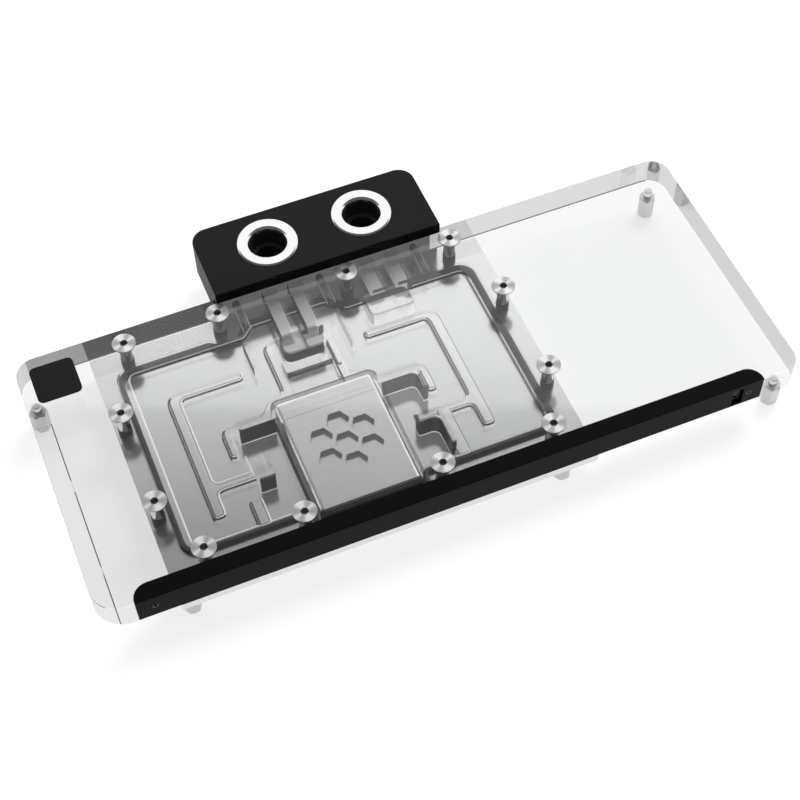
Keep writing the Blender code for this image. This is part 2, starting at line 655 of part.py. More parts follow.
def channel_cutters():
    """Everything that is milled into the cover's underside for the water."""
    low = COVER_BOTTOM - REACH
    shallow = COVER_BOTTOM + SHALLOW
    deep = COVER_BOTTOM + DEEP
    small = LOOP_INNER_RADIUS
    tools = []
    for side, name in ((-1.0, "left"), (1.0, "right")):
        tools.append(plan_solid(name + "_loop", loop_corners(side), low, shallow, cutter=True))
    stub_inner = STUB_OUTER - STUB_WIDTH
    stubs = (("left_stub", -1.0, LEFT_STUB_START), ("right_stub", 1.0, LOOP_FRONT_BAR + LOOP_BAR / 2.0))
    for name, side, start in stubs:
        left, right = sorted((sideways(side, STUB_OUTER), sideways(side, stub_inner)))
        stub = from_core(box_corners(left, right, start, STUB_END, small))
        tools.append(plan_solid(name, stub, low, shallow, cutter=True))
    tools.append(plan_solid("plenum", plenum_corners(), low, shallow, cutter=True))
    tongue = from_core(box_corners(sideways(-1.0, TONGUE_HALF), sideways(1.0, TONGUE_HALF), TONGUE_BACK,
                                   TONGUE_FRONT, TONGUE_RADIUS))
    tools.append(plan_solid("tongue", tongue, low, COVER_BOTTOM + MIDDLE_DEPTH, cutter=True))
    tools.append(plan_solid("trench", trench_corners(), low, deep, cutter=True))
    inner, outer, back, front = LEFT_WELL
    left_well = from_core(box_corners(sideways(-1.0, outer), sideways(-1.0, inner), back, front,
                                      SMALL_WELL_RADIUS))
    tools.append(plan_solid("left_well", left_well, low, deep, cutter=True))
    inner, outer, back, front = RIGHT_WELL
    right_well = from_core([(sideways(1.0, inner), back, SMALL_WELL_RADIUS),
                            (sideways(1.0, outer), back, SMALL_WELL_RADIUS),
                            (sideways(1.0, outer), RIGHT_WELL_END, SMALL_WELL_RADIUS),
                            (sideways(1.0, outer - TRENCH_LEG), RIGHT_WELL_END, SMALL_WELL_RADIUS),
                            (sideways(1.0, outer - TRENCH_LEG), front, WELL_RADIUS),
                            (sideways(1.0, inner), front, SMALL_WELL_RADIUS)])
    tools.append(plan_solid("right_well", right_well, low, deep, cutter=True))
    tools.append(plan_solid("inlet_well", box_corners(*INLET_WELL, WELL_RADIUS), low, deep, cutter=True))
    tools.append(plan_solid("outlet_well", box_corners(*OUTLET_WELL, WELL_RADIUS), low, deep, cutter=True))
    for name, (middle, back, front) in (("left_slit", LEFT_SLIT), ("right_slit", RIGHT_SLIT)):
        tools.append(plan_box(name, middle - SLIT_WIDTH / 2.0, middle + SLIT_WIDTH / 2.0, back, front,
                              low, COVER_BOTTOM + SLIT_DEPTH, cutter=True))
    return tools


def core_corners():
    half = CORE_WIDTH / 2.0
    return box_corners(CORE_MIDDLE - half, CORE_MIDDLE + half, CORE_BACK, CORE_FRONT, CORE_CORNER)


def core_pocket():
    pocket = offset(core_corners(), (CORE_MOAT, CORE_MOAT, CORE_FRONT_MOAT, CORE_MOAT))
    return plan_solid("core_pocket", pocket, COVER_BOTTOM - REACH, COVER_BOTTOM + DEEP, cutter=True)


def seal_groove():
    """Groove round the main seal, wider towards the water at the back and the sides."""
    line = seal_corners()
    snug = SEAL_THICK / 2.0 + GAP
    wide = SEAL_THICK / 2.0 + SEAL_ROOM
    sides = {7: wide, 13: wide}
    inward = [sides.get(edge, wide if edge < 7 else snug) for edge in range(len(line))]
    outer = offset(line, [snug] * len(line))
    inner = offset(line, [-distance for distance in inward])
    return plan_solid("seal_groove", outer, COVER_BOTTOM - REACH, SEAL_HEIGHT + SEAL_THICK / 2.0 + GAP,
                      holes=(inner,), cutter=True)


def channel_bores(length_into_cover):
    """Round channels from each port into the cover."""
    tools = []
    for port, (middle, into) in enumerate(zip(CHANNEL_MIDDLES, length_into_cover), start=1):
        for side in (-1.0, 1.0):
            x = middle + side * CHANNEL_SPREAD
            tools.append(cylinder("channel_%d_%s" % (port, "left" if side < 0.0 else "right"), CHANNEL_RADIUS,
                                  place(x, -PORT_BACK, CHANNEL_HEIGHT), place(x, into, CHANNEL_HEIGHT), 16,
                                  cutter=True))
    return tools


def make_cover(look, bores):
    corners = [(0.0, 0.0, COVER_BACK_RADIUS), (COVER_LENGTH, 0.0, COVER_BACK_RADIUS),
               (COVER_LENGTH, COVER_DEPTH, COVER_RIGHT_FRONT_RADIUS),
               (0.0, COVER_DEPTH, COVER_LEFT_FRONT_RADIUS)]
    cover = plan_solid("top_cover", corners, COVER_BOTTOM, COVER_TOP, steps=6)
    chamfer_top(cover, COVER_CHAMFER)
    rebate = offset(strip_corners(), (REACH, GAP, GAP, GAP))
    carve(cover, plan_solid("strip_rebate", rebate, COVER_BOTTOM - REACH, COVER_TOP + REACH, cutter=True))
    carve(cover, plan_box("relief", -REACH, RELIEF_WIDTH, RELIEF_START, COVER_DEPTH + REACH,
                          COVER_BOTTOM - REACH, COVER_BOTTOM + RELIEF_DEPTH, cutter=True))
    carve(cover, core_pocket(), seal_groove(), *channel_cutters(), *bores)
    sink = SCREW_HEAD_RADIUS - SCREW_RADIUS
    for index, (x, y) in enumerate(screw_places(), start=1):
        hole = [(0.0, REACH), (SCREW_HEAD_RADIUS + GAP, REACH), (SCREW_HEAD_RADIUS + GAP, -SCREW_HEAD_RIM),
                (SCREW_RADIUS + GAP, -SCREW_HEAD_RIM - sink), (SCREW_RADIUS + GAP, -COVER_THICK - REACH),
                (0.0, -COVER_THICK - REACH)]
        carve(cover, turned("screw_hole_%d" % index, hole, SCREW_STEPS, place(x, y, COVER_TOP), cutter=True))
    for index, (x, y) in enumerate(cover_standoff_places(), start=1):
        carve(cover, cylinder("stud_hole_%d" % index, STUD_RADIUS + GAP, place(x, y, COVER_BOTTOM - REACH),
                              place(x, y, COVER_BOTTOM + STUD_LENGTH + GAP), SMALL_STEPS, cutter=True))
    for index, x in enumerate(TERMINAL_SCREW_PLACES, start=1):
        carve(cover, cylinder("terminal_screw_bore_%d" % index, TERMINAL_SCREW_RADIUS + GAP,
                              place(x, -REACH, CHANNEL_HEIGHT), place(x, TERMINAL_SCREW_BORE, CHANNEL_HEIGHT),
                              SMALL_STEPS, cutter=True))
    middle = (COVER_TOP + COVER_BOTTOM) / 2.0
    for index, x in enumerate(strip_screw_places(), start=1):
        carve(cover, cylinder("strip_screw_bore_%d" % index, STRIP_SCREW_RADIUS + GAP,
                              place(x, STRIP_BACK + REACH, middle),
                              place(x, STRIP_BACK - STRIP_SCREW_GRIP - GAP, middle),
                              SMALL_STEPS, cutter=True))
    finish(cover, look)


def make_plate(look):
    corners = box_corners(PLATE_LEFT, PLATE_RIGHT, PLATE_BACK, PLATE_FRONT, PLATE_CORNER)
    plate = plan_solid("base_plate", corners, PLATE_BOTTOM, PLATE_TOP)
    inside = CORE_DEPTH - 2.0 * CORE_WALL - 2.0 * GAP
    fin_back = CORE_BACK + CORE_WALL + GAP
    first = CORE_MIDDLE - FIN_PITCH * (FIN_COUNT - 1) / 2.0
    for index in range(FIN_COUNT):
        middle = first + FIN_PITCH * index
        join(plate, plan_box("fin_%d" % (index + 1), middle - FIN_THICK / 2.0, middle + FIN_THICK / 2.0,
                             fin_back, fin_back + inside, PLATE_TOP - PLATE_THICK / 2.0,
                             PLATE_TOP + FIN_HEIGHT, cutter=True))
    core_centre = (CORE_BACK + CORE_FRONT) / 2.0
    pads = [("die_pad", CORE_MIDDLE, core_centre, DIE_PAD_SIZE, DIE_PAD_SIZE, DIE_PAD_DROP)]
    for side, name in ((-1.0, "left_chip_pad"), (1.0, "right_chip_pad")):
        pads.append((name, CORE_MIDDLE + side * CHIP_PAD_OFFSET, core_centre, CHIP_PAD_WIDTH, CHIP_PAD_LENGTH,
                     CHIP_PAD_DROP))
    back_pad_row = core_centre - CHIP_PAD_OFFSET
    pads.append(("back_chip_pad", CORE_MIDDLE, back_pad_row, CHIP_PAD_LENGTH, CHIP_PAD_WIDTH, CHIP_PAD_DROP))
    power_x = PLATE_RIGHT - POWER_PAD_INSET - POWER_PAD_WIDTH / 2.0
    pads.append(("power_pad", power_x, core_centre, POWER_PAD_WIDTH, POWER_PAD_LENGTH, CHIP_PAD_DROP))
    for name, x, y, width, depth, drop in pads:
        join(plate, plan_box(name, x - width / 2.0, x + width / 2.0, y - depth / 2.0, y + depth / 2.0,
                             PLATE_BOTTOM - drop, PLATE_BOTTOM + PLATE_THICK / 2.0, cutter=True))
    for index, (x, y) in enumerate(screw_places(), start=1):
        carve(plate, cylinder("screw_thread_%d" % index, SCREW_RADIUS + GAP,
                              place(x, y, PLATE_BOTTOM - REACH), place(x, y, PLATE_TOP + REACH),
                              SMALL_STEPS, cutter=True))
    for index, (x, y) in enumerate(plate_standoff_places(), start=1):
        carve(plate, cylinder("plate_stud_hole_%d" % index, STUD_RADIUS + GAP,
                              place(x, y, PLATE_BOTTOM - REACH),
                              place(x, y, PLATE_BOTTOM + PLATE_STUD_LENGTH + GAP),
                              SMALL_STEPS, cutter=True))
    finish(plate, look)


def make_core(look):
    core = plan_solid("core_cover", core_corners(), CORE_BOTTOM, CORE_TOP)
    chamfer_top(core, CORE_CHAMFER)
    wall = [-CORE_WALL] * 4
    hollow = [(x, y, CORE_INNER_CORNER) for x, y, radius in offset(core_corners(), wall)]
    carve(core, plan_solid("core_hollow", hollow, CORE_BOTTOM - REACH, CORE_CEILING, cutter=True))
    window_left = CORE_MIDDLE - CORE_WINDOW_WIDTH / 2.0
    window_right = CORE_MIDDLE + CORE_WINDOW_WIDTH / 2.0
    carve(core, plan_box("feed_window", window_left, window_right,
                         CORE_BACK - REACH, CORE_BACK + 2.0 * CORE_WALL,
                         CORE_BOTTOM - REACH, CORE_BOTTOM + CORE_WINDOW_HEIGHT, cutter=True))
    middle = place(CORE_MIDDLE, (CORE_BACK + CORE_FRONT) / 2.0)
    cells = [middle]
    for turn in range(CELL_RING):
        angle = math.pi / 6.0 + turn * 2.0 * math.pi / CELL_RING
        cells.append(middle + CELL_PITCH * Vector((math.cos(angle), math.sin(angle), 0.0)))
    for index, cell in enumerate(cells, start=1):
        carve(core, hexagon("cell_%d" % index, CELL_FLATS, CORE_TOP - CORE_SLOT_DEPTH, CORE_TOP + REACH,
                            cell, cutter=True, turn=math.pi / 6.0))
    finish(core, look, smooth=0.0)


def make_jet_insert(look):
    inside = offset(core_corners(), [-(CORE_WALL + GAP)] * 4)
    corners = [(x, y, JET_CORNER) for x, y, radius in inside]
    centre = (CORE_BACK + CORE_FRONT) / 2.0
    slot = box_corners(CORE_MIDDLE - JET_SLOT_LENGTH / 2.0, CORE_MIDDLE + JET_SLOT_LENGTH / 2.0,
                       centre - JET_SLOT_WIDTH / 2.0, centre + JET_SLOT_WIDTH / 2.0, JET_SLOT_RADIUS)
    insert = plan_solid("jet_insert", corners, JET_BOTTOM, JET_BOTTOM + JET_THICK, holes=(slot,))
    finish(insert, look, smooth=0.0)


def ring_seal(name, points, thick, world, look):
    """Closed round cord along a flat outline."""
    curve = bpy.data.curves.new(name, 'CURVE')
    curve.dimensions = '3D'
    curve.bevel_depth = thick / 2.0
    curve.bevel_resolution = 2
    spline = curve.splines.new('POLY')
    spline.points.add(len(points) - 1)
    for point, target in zip(spline.points, points):
        point.co = (target.x, target.y, 0.0, 1.0)
    spline.use_cyclic_u = True
    finish(curve_solid(name, curve, world), look)


def terminal_front_frame(middle):
    """Frame on the block's front face: X along it, Y up and Z pointing towards the block's back."""
    turn = Matrix.Rotation(math.pi / 2.0, 4, 'X') @ Matrix.Scale(-1.0, 4, (0.0, 0.0, 1.0))
    return Matrix.Translation(place(middle, -GAP, CHANNEL_HEIGHT)) @ turn


def racetrack(grow=0.0):
    length = TERMINAL_SEAL_HALF_LENGTH + grow
    height = TERMINAL_SEAL_HALF_HEIGHT + grow
    radius = height - SAME_HEIGHT
    return rounded([(-length, -height, radius), (length, -height, radius), (length, height, radius),
                    (-length, height, radius)])


def make_terminal(look, ring_look, seal_look, bores):
    corners = [(TERMINAL_LEFT, -TERMINAL_DEPTH, TERMINAL_CORNER),
               (TERMINAL_RIGHT, -TERMINAL_DEPTH, TERMINAL_CORNER),
               (TERMINAL_RIGHT, TERMINAL_LIP, 0.0), (TERMINAL_LEFT, TERMINAL_LIP, 0.0)]
    block = plan_solid("terminal_block", corners, TERMINAL_BOTTOM, TERMINAL_TOP, steps=6)
    chamfer_top(block, TERMINAL_CHAMFER)
    carve(block, plan_box("lip_step", TERMINAL_LEFT - REACH, TERMINAL_RIGHT + REACH,
                          -GAP, TERMINAL_LIP + REACH,
                          TERMINAL_BOTTOM - REACH, COVER_TOP + GAP, cutter=True))
    seat = RING_THICK - RING_PROUD + GAP
    floor = TERMINAL_RISE + TERMINAL_BELOW - PORT_FLOOR
    for index, x in enumerate(PORT_PLACES, start=1):
        profile = [(0.0, REACH), (RING_RADIUS + GAP, REACH), (RING_RADIUS + GAP, -seat),
                   (PORT_BORE_RADIUS, -seat),
                   (PORT_BORE_RADIUS, -PORT_BORE_DEPTH), (PORT_HOLE_RADIUS, -PORT_BORE_DEPTH),
                   (PORT_HOLE_RADIUS, -floor), (0.0, -floor)]
        carve(block, turned("port_bore_%d" % index, profile, PORT_STEPS, place(x, -PORT_BACK, TERMINAL_TOP),
                            cutter=True))
    carve(block, *bores)
    half = TERMINAL_SEAL_THICK / 2.0 + GAP
    for index, middle in enumerate(CHANNEL_MIDDLES, start=1):
        frame = terminal_front_frame(middle)
        groove = outline_solid("terminal_groove_%d" % index, [racetrack(half), racetrack(-half)], -REACH,
                               TERMINAL_SEAL_THICK + GAP, turn=frame, cutter=True)
        carve(block, groove)
        ring_seal("terminal_seal_%d" % index, racetrack(), TERMINAL_SEAL_THICK,
                  frame @ Matrix.Translation((0.0, 0.0, TERMINAL_SEAL_THICK / 2.0)), seal_look)
    for index, x in enumerate(TERMINAL_SCREW_PLACES, start=1):
        carve(block, cylinder("terminal_screw_way_%d" % index, TERMINAL_SCREW_RADIUS + GAP,
                              place(x, REACH, CHANNEL_HEIGHT),
                              place(x, -TERMINAL_DEPTH - REACH, CHANNEL_HEIGHT),
                              SMALL_STEPS, cutter=True))
        carve(block, cylinder("terminal_screw_seat_%d" % index, TERMINAL_SCREW_HEAD + GAP,
                              place(x, TERMINAL_SCREW_HEAD_THICK + GAP - TERMINAL_DEPTH, CHANNEL_HEIGHT),
                              place(x, -TERMINAL_DEPTH - REACH, CHANNEL_HEIGHT), SMALL_STEPS, cutter=True))
    finish(block, look)
    ring = [(RING_MOUTH_RADIUS, 0.0), (RING_RADIUS - RING_CHAMFER, 0.0), (RING_RADIUS, -RING_CHAMFER),
            (RING_RADIUS, -RING_THICK), (RING_MOUTH_RADIUS, -RING_THICK)]
    pattern = turned("port_ring", ring, PORT_STEPS)
    copies(pattern, ["port_ring_%d" % (index + 1) for index in range(len(PORT_PLACES))],
           [place(x, -PORT_BACK, TERMINAL_TOP + RING_PROUD) for x in PORT_PLACES], ring_look)


def make_socket_screw(name, head_radius, head_thick, radius, length, flats, tail, head_up):
    """Screw along +Z with its head's top at the origin; a flat head is a cylinder, a sunk head a cone."""
    sink = head_radius - radius if tail else 0.0
    profile = [(0.0, 0.0), (head_radius, 0.0), (head_radius, -head_thick), (radius, -head_thick - sink),
               (radius, -length), (0.0, -length)]
    screw = turned(name, profile, SCREW_STEPS if tail else SMALL_STEPS)
    carve(screw, hexagon(name + "_socket", flats, -head_up, REACH, Vector((0.0, 0.0)), cutter=True))
    return screw


def make_screws(look):
    places = screw_places()
    length = COVER_THICK + GAP + PLATE_THICK - GAP
    pattern = make_socket_screw("cover_screw", SCREW_HEAD_RADIUS, SCREW_HEAD_RIM, SCREW_RADIUS, length,
                                SCREW_SOCKET, True, SCREW_SOCKET_DEPTH)
    copies(pattern, ["cover_screw_%d" % (index + 1) for index in range(len(places))],
           [place(x, y, COVER_TOP) for x, y in places], look)
    reach = TERMINAL_DEPTH + TERMINAL_SCREW_GRIP
    pattern = make_socket_screw("terminal_screw", TERMINAL_SCREW_HEAD, TERMINAL_SCREW_HEAD_THICK,
                                TERMINAL_SCREW_RADIUS, reach, TERMINAL_SCREW_SOCKET, False,
                                TERMINAL_SCREW_SOCKET_DEPTH)
    pattern.matrix_world = Matrix.Rotation(-math.pi / 2.0, 4, 'X')
    bpy.context.view_layer.update()
    copies(pattern, ["terminal_screw_%d" % (index + 1) for index in range(len(TERMINAL_SCREW_PLACES))],
           [place(x, -TERMINAL_DEPTH, CHANNEL_HEIGHT) for x in TERMINAL_SCREW_PLACES], look)


def make_strip(look, lamp_look, socket_look, screw_look):
    strip = plan_solid("light_strip_cover", strip_corners(), COVER_BOTTOM, COVER_TOP)
    middle = (COVER_TOP + COVER_BOTTOM) / 2.0
    low = middle - LAMP_CHANNEL_HEIGHT / 2.0
    high = middle + LAMP_CHANNEL_HEIGHT / 2.0
    left = STRIP_LEFT + LAMP_CHANNEL_INSET
    right = STRIP_RIGHT - LAMP_CHANNEL_STOP
    floor = STRIP_BACK + LAMP_CHANNEL_DEPTH
    carve(strip, plan_box("lamp_channel", left, right, STRIP_BACK - REACH, floor, low, high, cutter=True))
    socket = STRIP_RIGHT - SOCKET_INSET
    half = SOCKET_WIDTH / 2.0
    socket_back = COVER_DEPTH - SOCKET_DEPTH
    carve(strip, plan_box("socket_notch", socket - half - GAP, socket + half + GAP, socket_back - GAP,
                          COVER_DEPTH + REACH, COVER_BOTTOM - REACH, COVER_TOP + REACH, cutter=True))
    for index, x in enumerate(strip_screw_places(), start=1):
        carve(strip, cylinder("strip_screw_way_%d" % index, STRIP_SCREW_RADIUS + GAP,
                              place(x, COVER_DEPTH + REACH, middle), place(x, STRIP_BACK - REACH, middle),
                              SMALL_STEPS, cutter=True))
        carve(strip, cylinder("strip_screw_seat_%d" % index, STRIP_SCREW_HEAD + GAP,
                              place(x, COVER_DEPTH + REACH, middle),
                              place(x, COVER_DEPTH - STRIP_SCREW_HEAD_THICK - GAP, middle), SMALL_STEPS,
                              cutter=True))
    finish(strip, look)

    board = plan_box("light_strip", left + BOARD_MARGIN, right - BOARD_MARGIN, floor - GAP - BOARD_THICK,
                     floor - GAP, low + BOARD_MARGIN, high - BOARD_MARGIN)
    lamp_gaps = int((right - left - 2.0 * BOARD_MARGIN - LAMP_SIZE) / LAMP_PITCH)
    first = (left + right) / 2.0 - LAMP_PITCH * lamp_gaps / 2.0
    lamp_front = floor - GAP - BOARD_THICK - LAMP_RISE
    for index in range(lamp_gaps + 1):
        x = first + LAMP_PITCH * index
        join(board, plan_box("lamp_%d" % (index + 1), x - LAMP_SIZE / 2.0, x + LAMP_SIZE / 2.0, lamp_front,
                             floor - GAP - BOARD_THICK / 2.0,
                             middle - LAMP_SIZE / 2.0, middle + LAMP_SIZE / 2.0,
                             cutter=True))
    finish(board, lamp_look, smooth=0.0)

    connector = plan_box("light_socket", socket - half, socket + half, socket_back, COVER_DEPTH - GAP,
                         COVER_BOTTOM + GAP, COVER_TOP - GAP)
    for index, side in enumerate((-1.0, 1.0), start=1):
        z = middle + side * SOCKET_WIDTH / 2.0
        carve(connector, plan_box("pin_slot_%d" % index,
                                  socket - SOCKET_SLOT / 2.0, socket + SOCKET_SLOT / 2.0,
                                  socket_back + SOCKET_DEPTH / 3.0, COVER_DEPTH + REACH, z - SOCKET_SLOT,
                                  z + SOCKET_SLOT, cutter=True))
    finish(connector, socket_look, smooth=0.0)

    pattern = make_socket_screw("strip_screw", STRIP_SCREW_HEAD, STRIP_SCREW_HEAD_THICK, STRIP_SCREW_RADIUS,
                                STRIP_DEPTH + STRIP_SCREW_GRIP, STRIP_SCREW_SOCKET, False,
                                STRIP_SCREW_SOCKET_DEPTH)
    pattern.matrix_world = Matrix.Rotation(math.pi / 2.0, 4, 'X')
    bpy.context.view_layer.update()
    copies(pattern, ["strip_screw_1", "strip_screw_2"],
           [place(x, COVER_DEPTH, middle) for x in strip_screw_places()], screw_look)


def make_badge(look):
    corners = box_corners(BADGE_LEFT, BADGE_LEFT + BADGE_SIZE,
                          BADGE_BACK, BADGE_BACK + BADGE_SIZE, BADGE_CORNER)
    low = COVER_TOP + GAP
    finish(plan_solid("badge", corners, low, low + BADGE_THICK), look)


def standoff_pattern(height, stud):
    """Hexagon standoff on the floor with a stud on top and a threaded bore below."""
    body = hexagon("standoff", STANDOFF_FLATS, 0.0, height, Vector((0.0, 0.0)), turn=math.pi / 6.0)
    join(body, cylinder("standoff_stud", STUD_RADIUS, Vector((0.0, 0.0, height / 2.0)),
                        Vector((0.0, 0.0, height + stud)), SMALL_STEPS, cutter=True))
    carve(body, cylinder("standoff_bore", STANDOFF_BORE_RADIUS, Vector((0.0, 0.0, -REACH)),
                         Vector((0.0, 0.0, min(STANDOFF_BORE_DEPTH, height / 2.0))),
                         SMALL_STEPS, cutter=True))
    return body


def make_standoffs(look):
    places = cover_standoff_places()
    copies(standoff_pattern(CARD_CLEARANCE, GAP + STUD_LENGTH),
           ["cover_standoff_%d" % (index + 1) for index in range(len(places))],
           [place(x, y) for x, y in places], look)
    places = plate_standoff_places()
    copies(standoff_pattern(PLATE_BOTTOM - GAP, GAP + PLATE_STUD_LENGTH),
           ["plate_standoff_%d" % (index + 1) for index in range(len(places))],
           [place(x, y) for x, y in places], look)


def build():
    acrylic = material("clear_acrylic", (0.93, 0.94, 0.95), 0.05, alpha=0.35)
    nickel = material("bright_nickel", (0.78, 0.78, 0.79), 0.22, 1.0)
    satin_nickel = material("satin_nickel", (0.68, 0.68, 0.66), 0.38, 1.0)
    steel = material("turned_steel", (0.72, 0.72, 0.72), 0.28, 1.0)
    chrome = material("polished_chrome", (0.86, 0.86, 0.87), 0.08, 1.0)
    acetal = material("black_acetal", (0.02, 0.02, 0.02), 0.45)
    black_metal = material("black_aluminium", (0.015, 0.015, 0.015), 0.4, 0.2)
    rubber = material("black_rubber", (0.03, 0.03, 0.03), 0.75)
    lamp_board = material("lamp_board", (0.85, 0.85, 0.82), 0.5)
    badge_black = material("badge_black", (0.02, 0.02, 0.02), 0.3)

    bores = channel_bores((INLET_WELL[2] + REACH, OUTLET_WELL[2] + REACH))
    make_cover(acrylic, bores)
    make_plate(nickel)
    make_core(satin_nickel)
    make_jet_insert(steel)
    rise = Matrix.Translation((0.0, 0.0, SEAL_HEIGHT))
    ring_seal("main_seal", plan(seal_corners()), SEAL_THICK, rise, rubber)
    make_terminal(acetal, chrome, rubber, bores)
    make_screws(steel)
    make_strip(black_metal, lamp_board, acetal, steel)
    make_badge(badge_black)
    make_standoffs(steel)


build()
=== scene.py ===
"""Looks for the graphics card water block: clear cover, nickel plates, black terminal and its screws."""
import math

import bmesh
import bpy
from mathutils import Matrix, Vector


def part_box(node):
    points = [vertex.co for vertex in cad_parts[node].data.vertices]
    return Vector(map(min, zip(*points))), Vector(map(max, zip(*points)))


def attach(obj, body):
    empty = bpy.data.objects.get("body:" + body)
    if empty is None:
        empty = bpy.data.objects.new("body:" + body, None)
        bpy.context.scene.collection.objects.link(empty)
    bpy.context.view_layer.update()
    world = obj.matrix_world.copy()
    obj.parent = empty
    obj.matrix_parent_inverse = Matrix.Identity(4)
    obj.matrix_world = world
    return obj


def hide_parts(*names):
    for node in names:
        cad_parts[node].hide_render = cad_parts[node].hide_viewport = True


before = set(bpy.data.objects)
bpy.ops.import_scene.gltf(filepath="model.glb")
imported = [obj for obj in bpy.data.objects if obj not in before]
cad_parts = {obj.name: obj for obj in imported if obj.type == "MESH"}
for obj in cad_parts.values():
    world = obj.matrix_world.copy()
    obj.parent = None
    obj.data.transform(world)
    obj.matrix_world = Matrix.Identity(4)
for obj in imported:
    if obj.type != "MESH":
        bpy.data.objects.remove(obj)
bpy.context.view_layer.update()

# Plan places are millimetres from the cover's left and back edges, heights millimetres over its top
MM = 0.001
COVER_LOW, COVER_HIGH = (Vector(corner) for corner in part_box("top_cover"))
PLATE_LOW, PLATE_HIGH = (Vector(corner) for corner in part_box("base_plate"))
CORE_LOW, CORE_HIGH = (Vector(corner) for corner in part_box("core_cover"))
BLOCK_LOW, BLOCK_HIGH = (Vector(corner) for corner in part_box("terminal_block"))
COVER_LENGTH = (COVER_HIGH.x - COVER_LOW.x) / MM
COVER_DEPTH = (COVER_HIGH.y - COVER_LOW.y) / MM
COVER_THICK = (COVER_HIGH.z - COVER_LOW.z) / MM
CORE_LEFT = (CORE_LOW.x - COVER_LOW.x) / MM
CORE_RIGHT = (CORE_HIGH.x - COVER_LOW.x) / MM
CORE_BACK = (COVER_HIGH.y - CORE_HIGH.y) / MM
CORE_FRONT = (COVER_HIGH.y - CORE_LOW.y) / MM
PAST = 2.0                  # how far cutters run past an open face
SAME_HEIGHT = 0.000001      # metres

# Clear cover
BACK_RADIUS = 6.8
LEFT_FRONT_RADIUS = 9.0
RIGHT_FRONT_RADIUS = 6.0
EDGE_ROUND = 0.3
SHALLOW = 2.5
DEEP = 8.0
FILLET = 1.05
FLOW_AXIS = 91.4
TUNNELS = ((93.4, 22.0), (128.5, 15.0))     # middle of each port's pair of channels, and where it ends
TUNNEL_SPREAD = 4.6
TUNNEL_HALF = 2.6
TUNNEL_FLOOR = -8.1
TUNNEL_ROOF = -2.8
SEAT_LEFT = 71.0
SEAT_RIGHT = 148.5

# Screws and standoffs
SCREW_COLUMNS = (36.5, 69.1, 115.3, 153.6)
SCREW_ROWS = (5.65, 89.4)
SIDE_COLUMNS = (27.55, 162.0)
SIDE_ROWS = (32.2, 68.0)
SCREW_HEAD = 3.95
SCREW_SHAFT = 2.0
SCREW_RIM = 0.3
SCREW_GAP = 0.08
SCREW_THREAD = 2.27
SCREW_SOCKET = 2.4
RING_START = 1.5            # fine turned rings of the heads
RING_PITCH = 0.24
RING_DEPTH = 0.028
RING_COUNT = 9
STUDS = ((230.6, 96.9), (230.6, 7.2), (3.1, 13.4))
STUD_LONG = 2.9
STUD_SHORT = 2.2
STUD_HOLE = 1.5
THREAD_PITCH = 0.45

# Terminal block and light strip
PORTS = (94.0, 128.4)
PORT_BACK = 13.1
FLOW_DROP = -5.4            # height of the block's channels and screws
BLOCK_SCREWS = (77.0, 107.2, 142.0)
STRIP_LEFT = 11.4
STRIP_RIGHT = COVER_LENGTH - 14.2
STRIP_BACK = 94.2
NOTCH = STRIP_RIGHT - 8.9

# Studio
CAMERA_PLACE = (-0.1167, -0.3062, 0.4500)
CAMERA_AZIMUTH = 21.357
CAMERA_ELEVATION = 55.057
CAMERA_ROLL = -1.1906
CAMERA_LENS = 73.59
HORIZON_NORMAL = (-0.3189, -0.7584, 0.5686)
WALL_LIGHT = 1.4
FLOOR_GLOW = 0.76
FLOOR_PAINT = 0.32


def compute(look, operation, *entries):
    """Value of a sum or function of other values."""
    node = look.node("ShaderNodeMath", {"operation": operation}, dict(enumerate(entries)))
    return Value(look, node.outputs[0])


class Value:
    """A shader value that can be used in sums."""

    def __init__(self, look, socket):
        self.look = look
        self.socket = socket

    def __add__(self, other):
        return compute(self.look, 'ADD', self, other)

    def __radd__(self, other):
        return compute(self.look, 'ADD', other, self)

    def __sub__(self, other):
        return compute(self.look, 'SUBTRACT', self, other)

    def __rsub__(self, other):
        return compute(self.look, 'SUBTRACT', other, self)

    def __mul__(self, other):
        return compute(self.look, 'MULTIPLY', self, other)

    def __rmul__(self, other):
        return compute(self.look, 'MULTIPLY', other, self)

    def __truediv__(self, other):
        return compute(self.look, 'DIVIDE', self, other)

    def power(self, other):
        return compute(self.look, 'POWER', self, other)

    def smooth(self, low, high):
        node = self.look.node("ShaderNodeMapRange", {"interpolation_type": 'SMOOTHSTEP'},
                              {"Value": self, "From Min": low, "From Max": high})
        return Value(self.look, node.outputs[0])


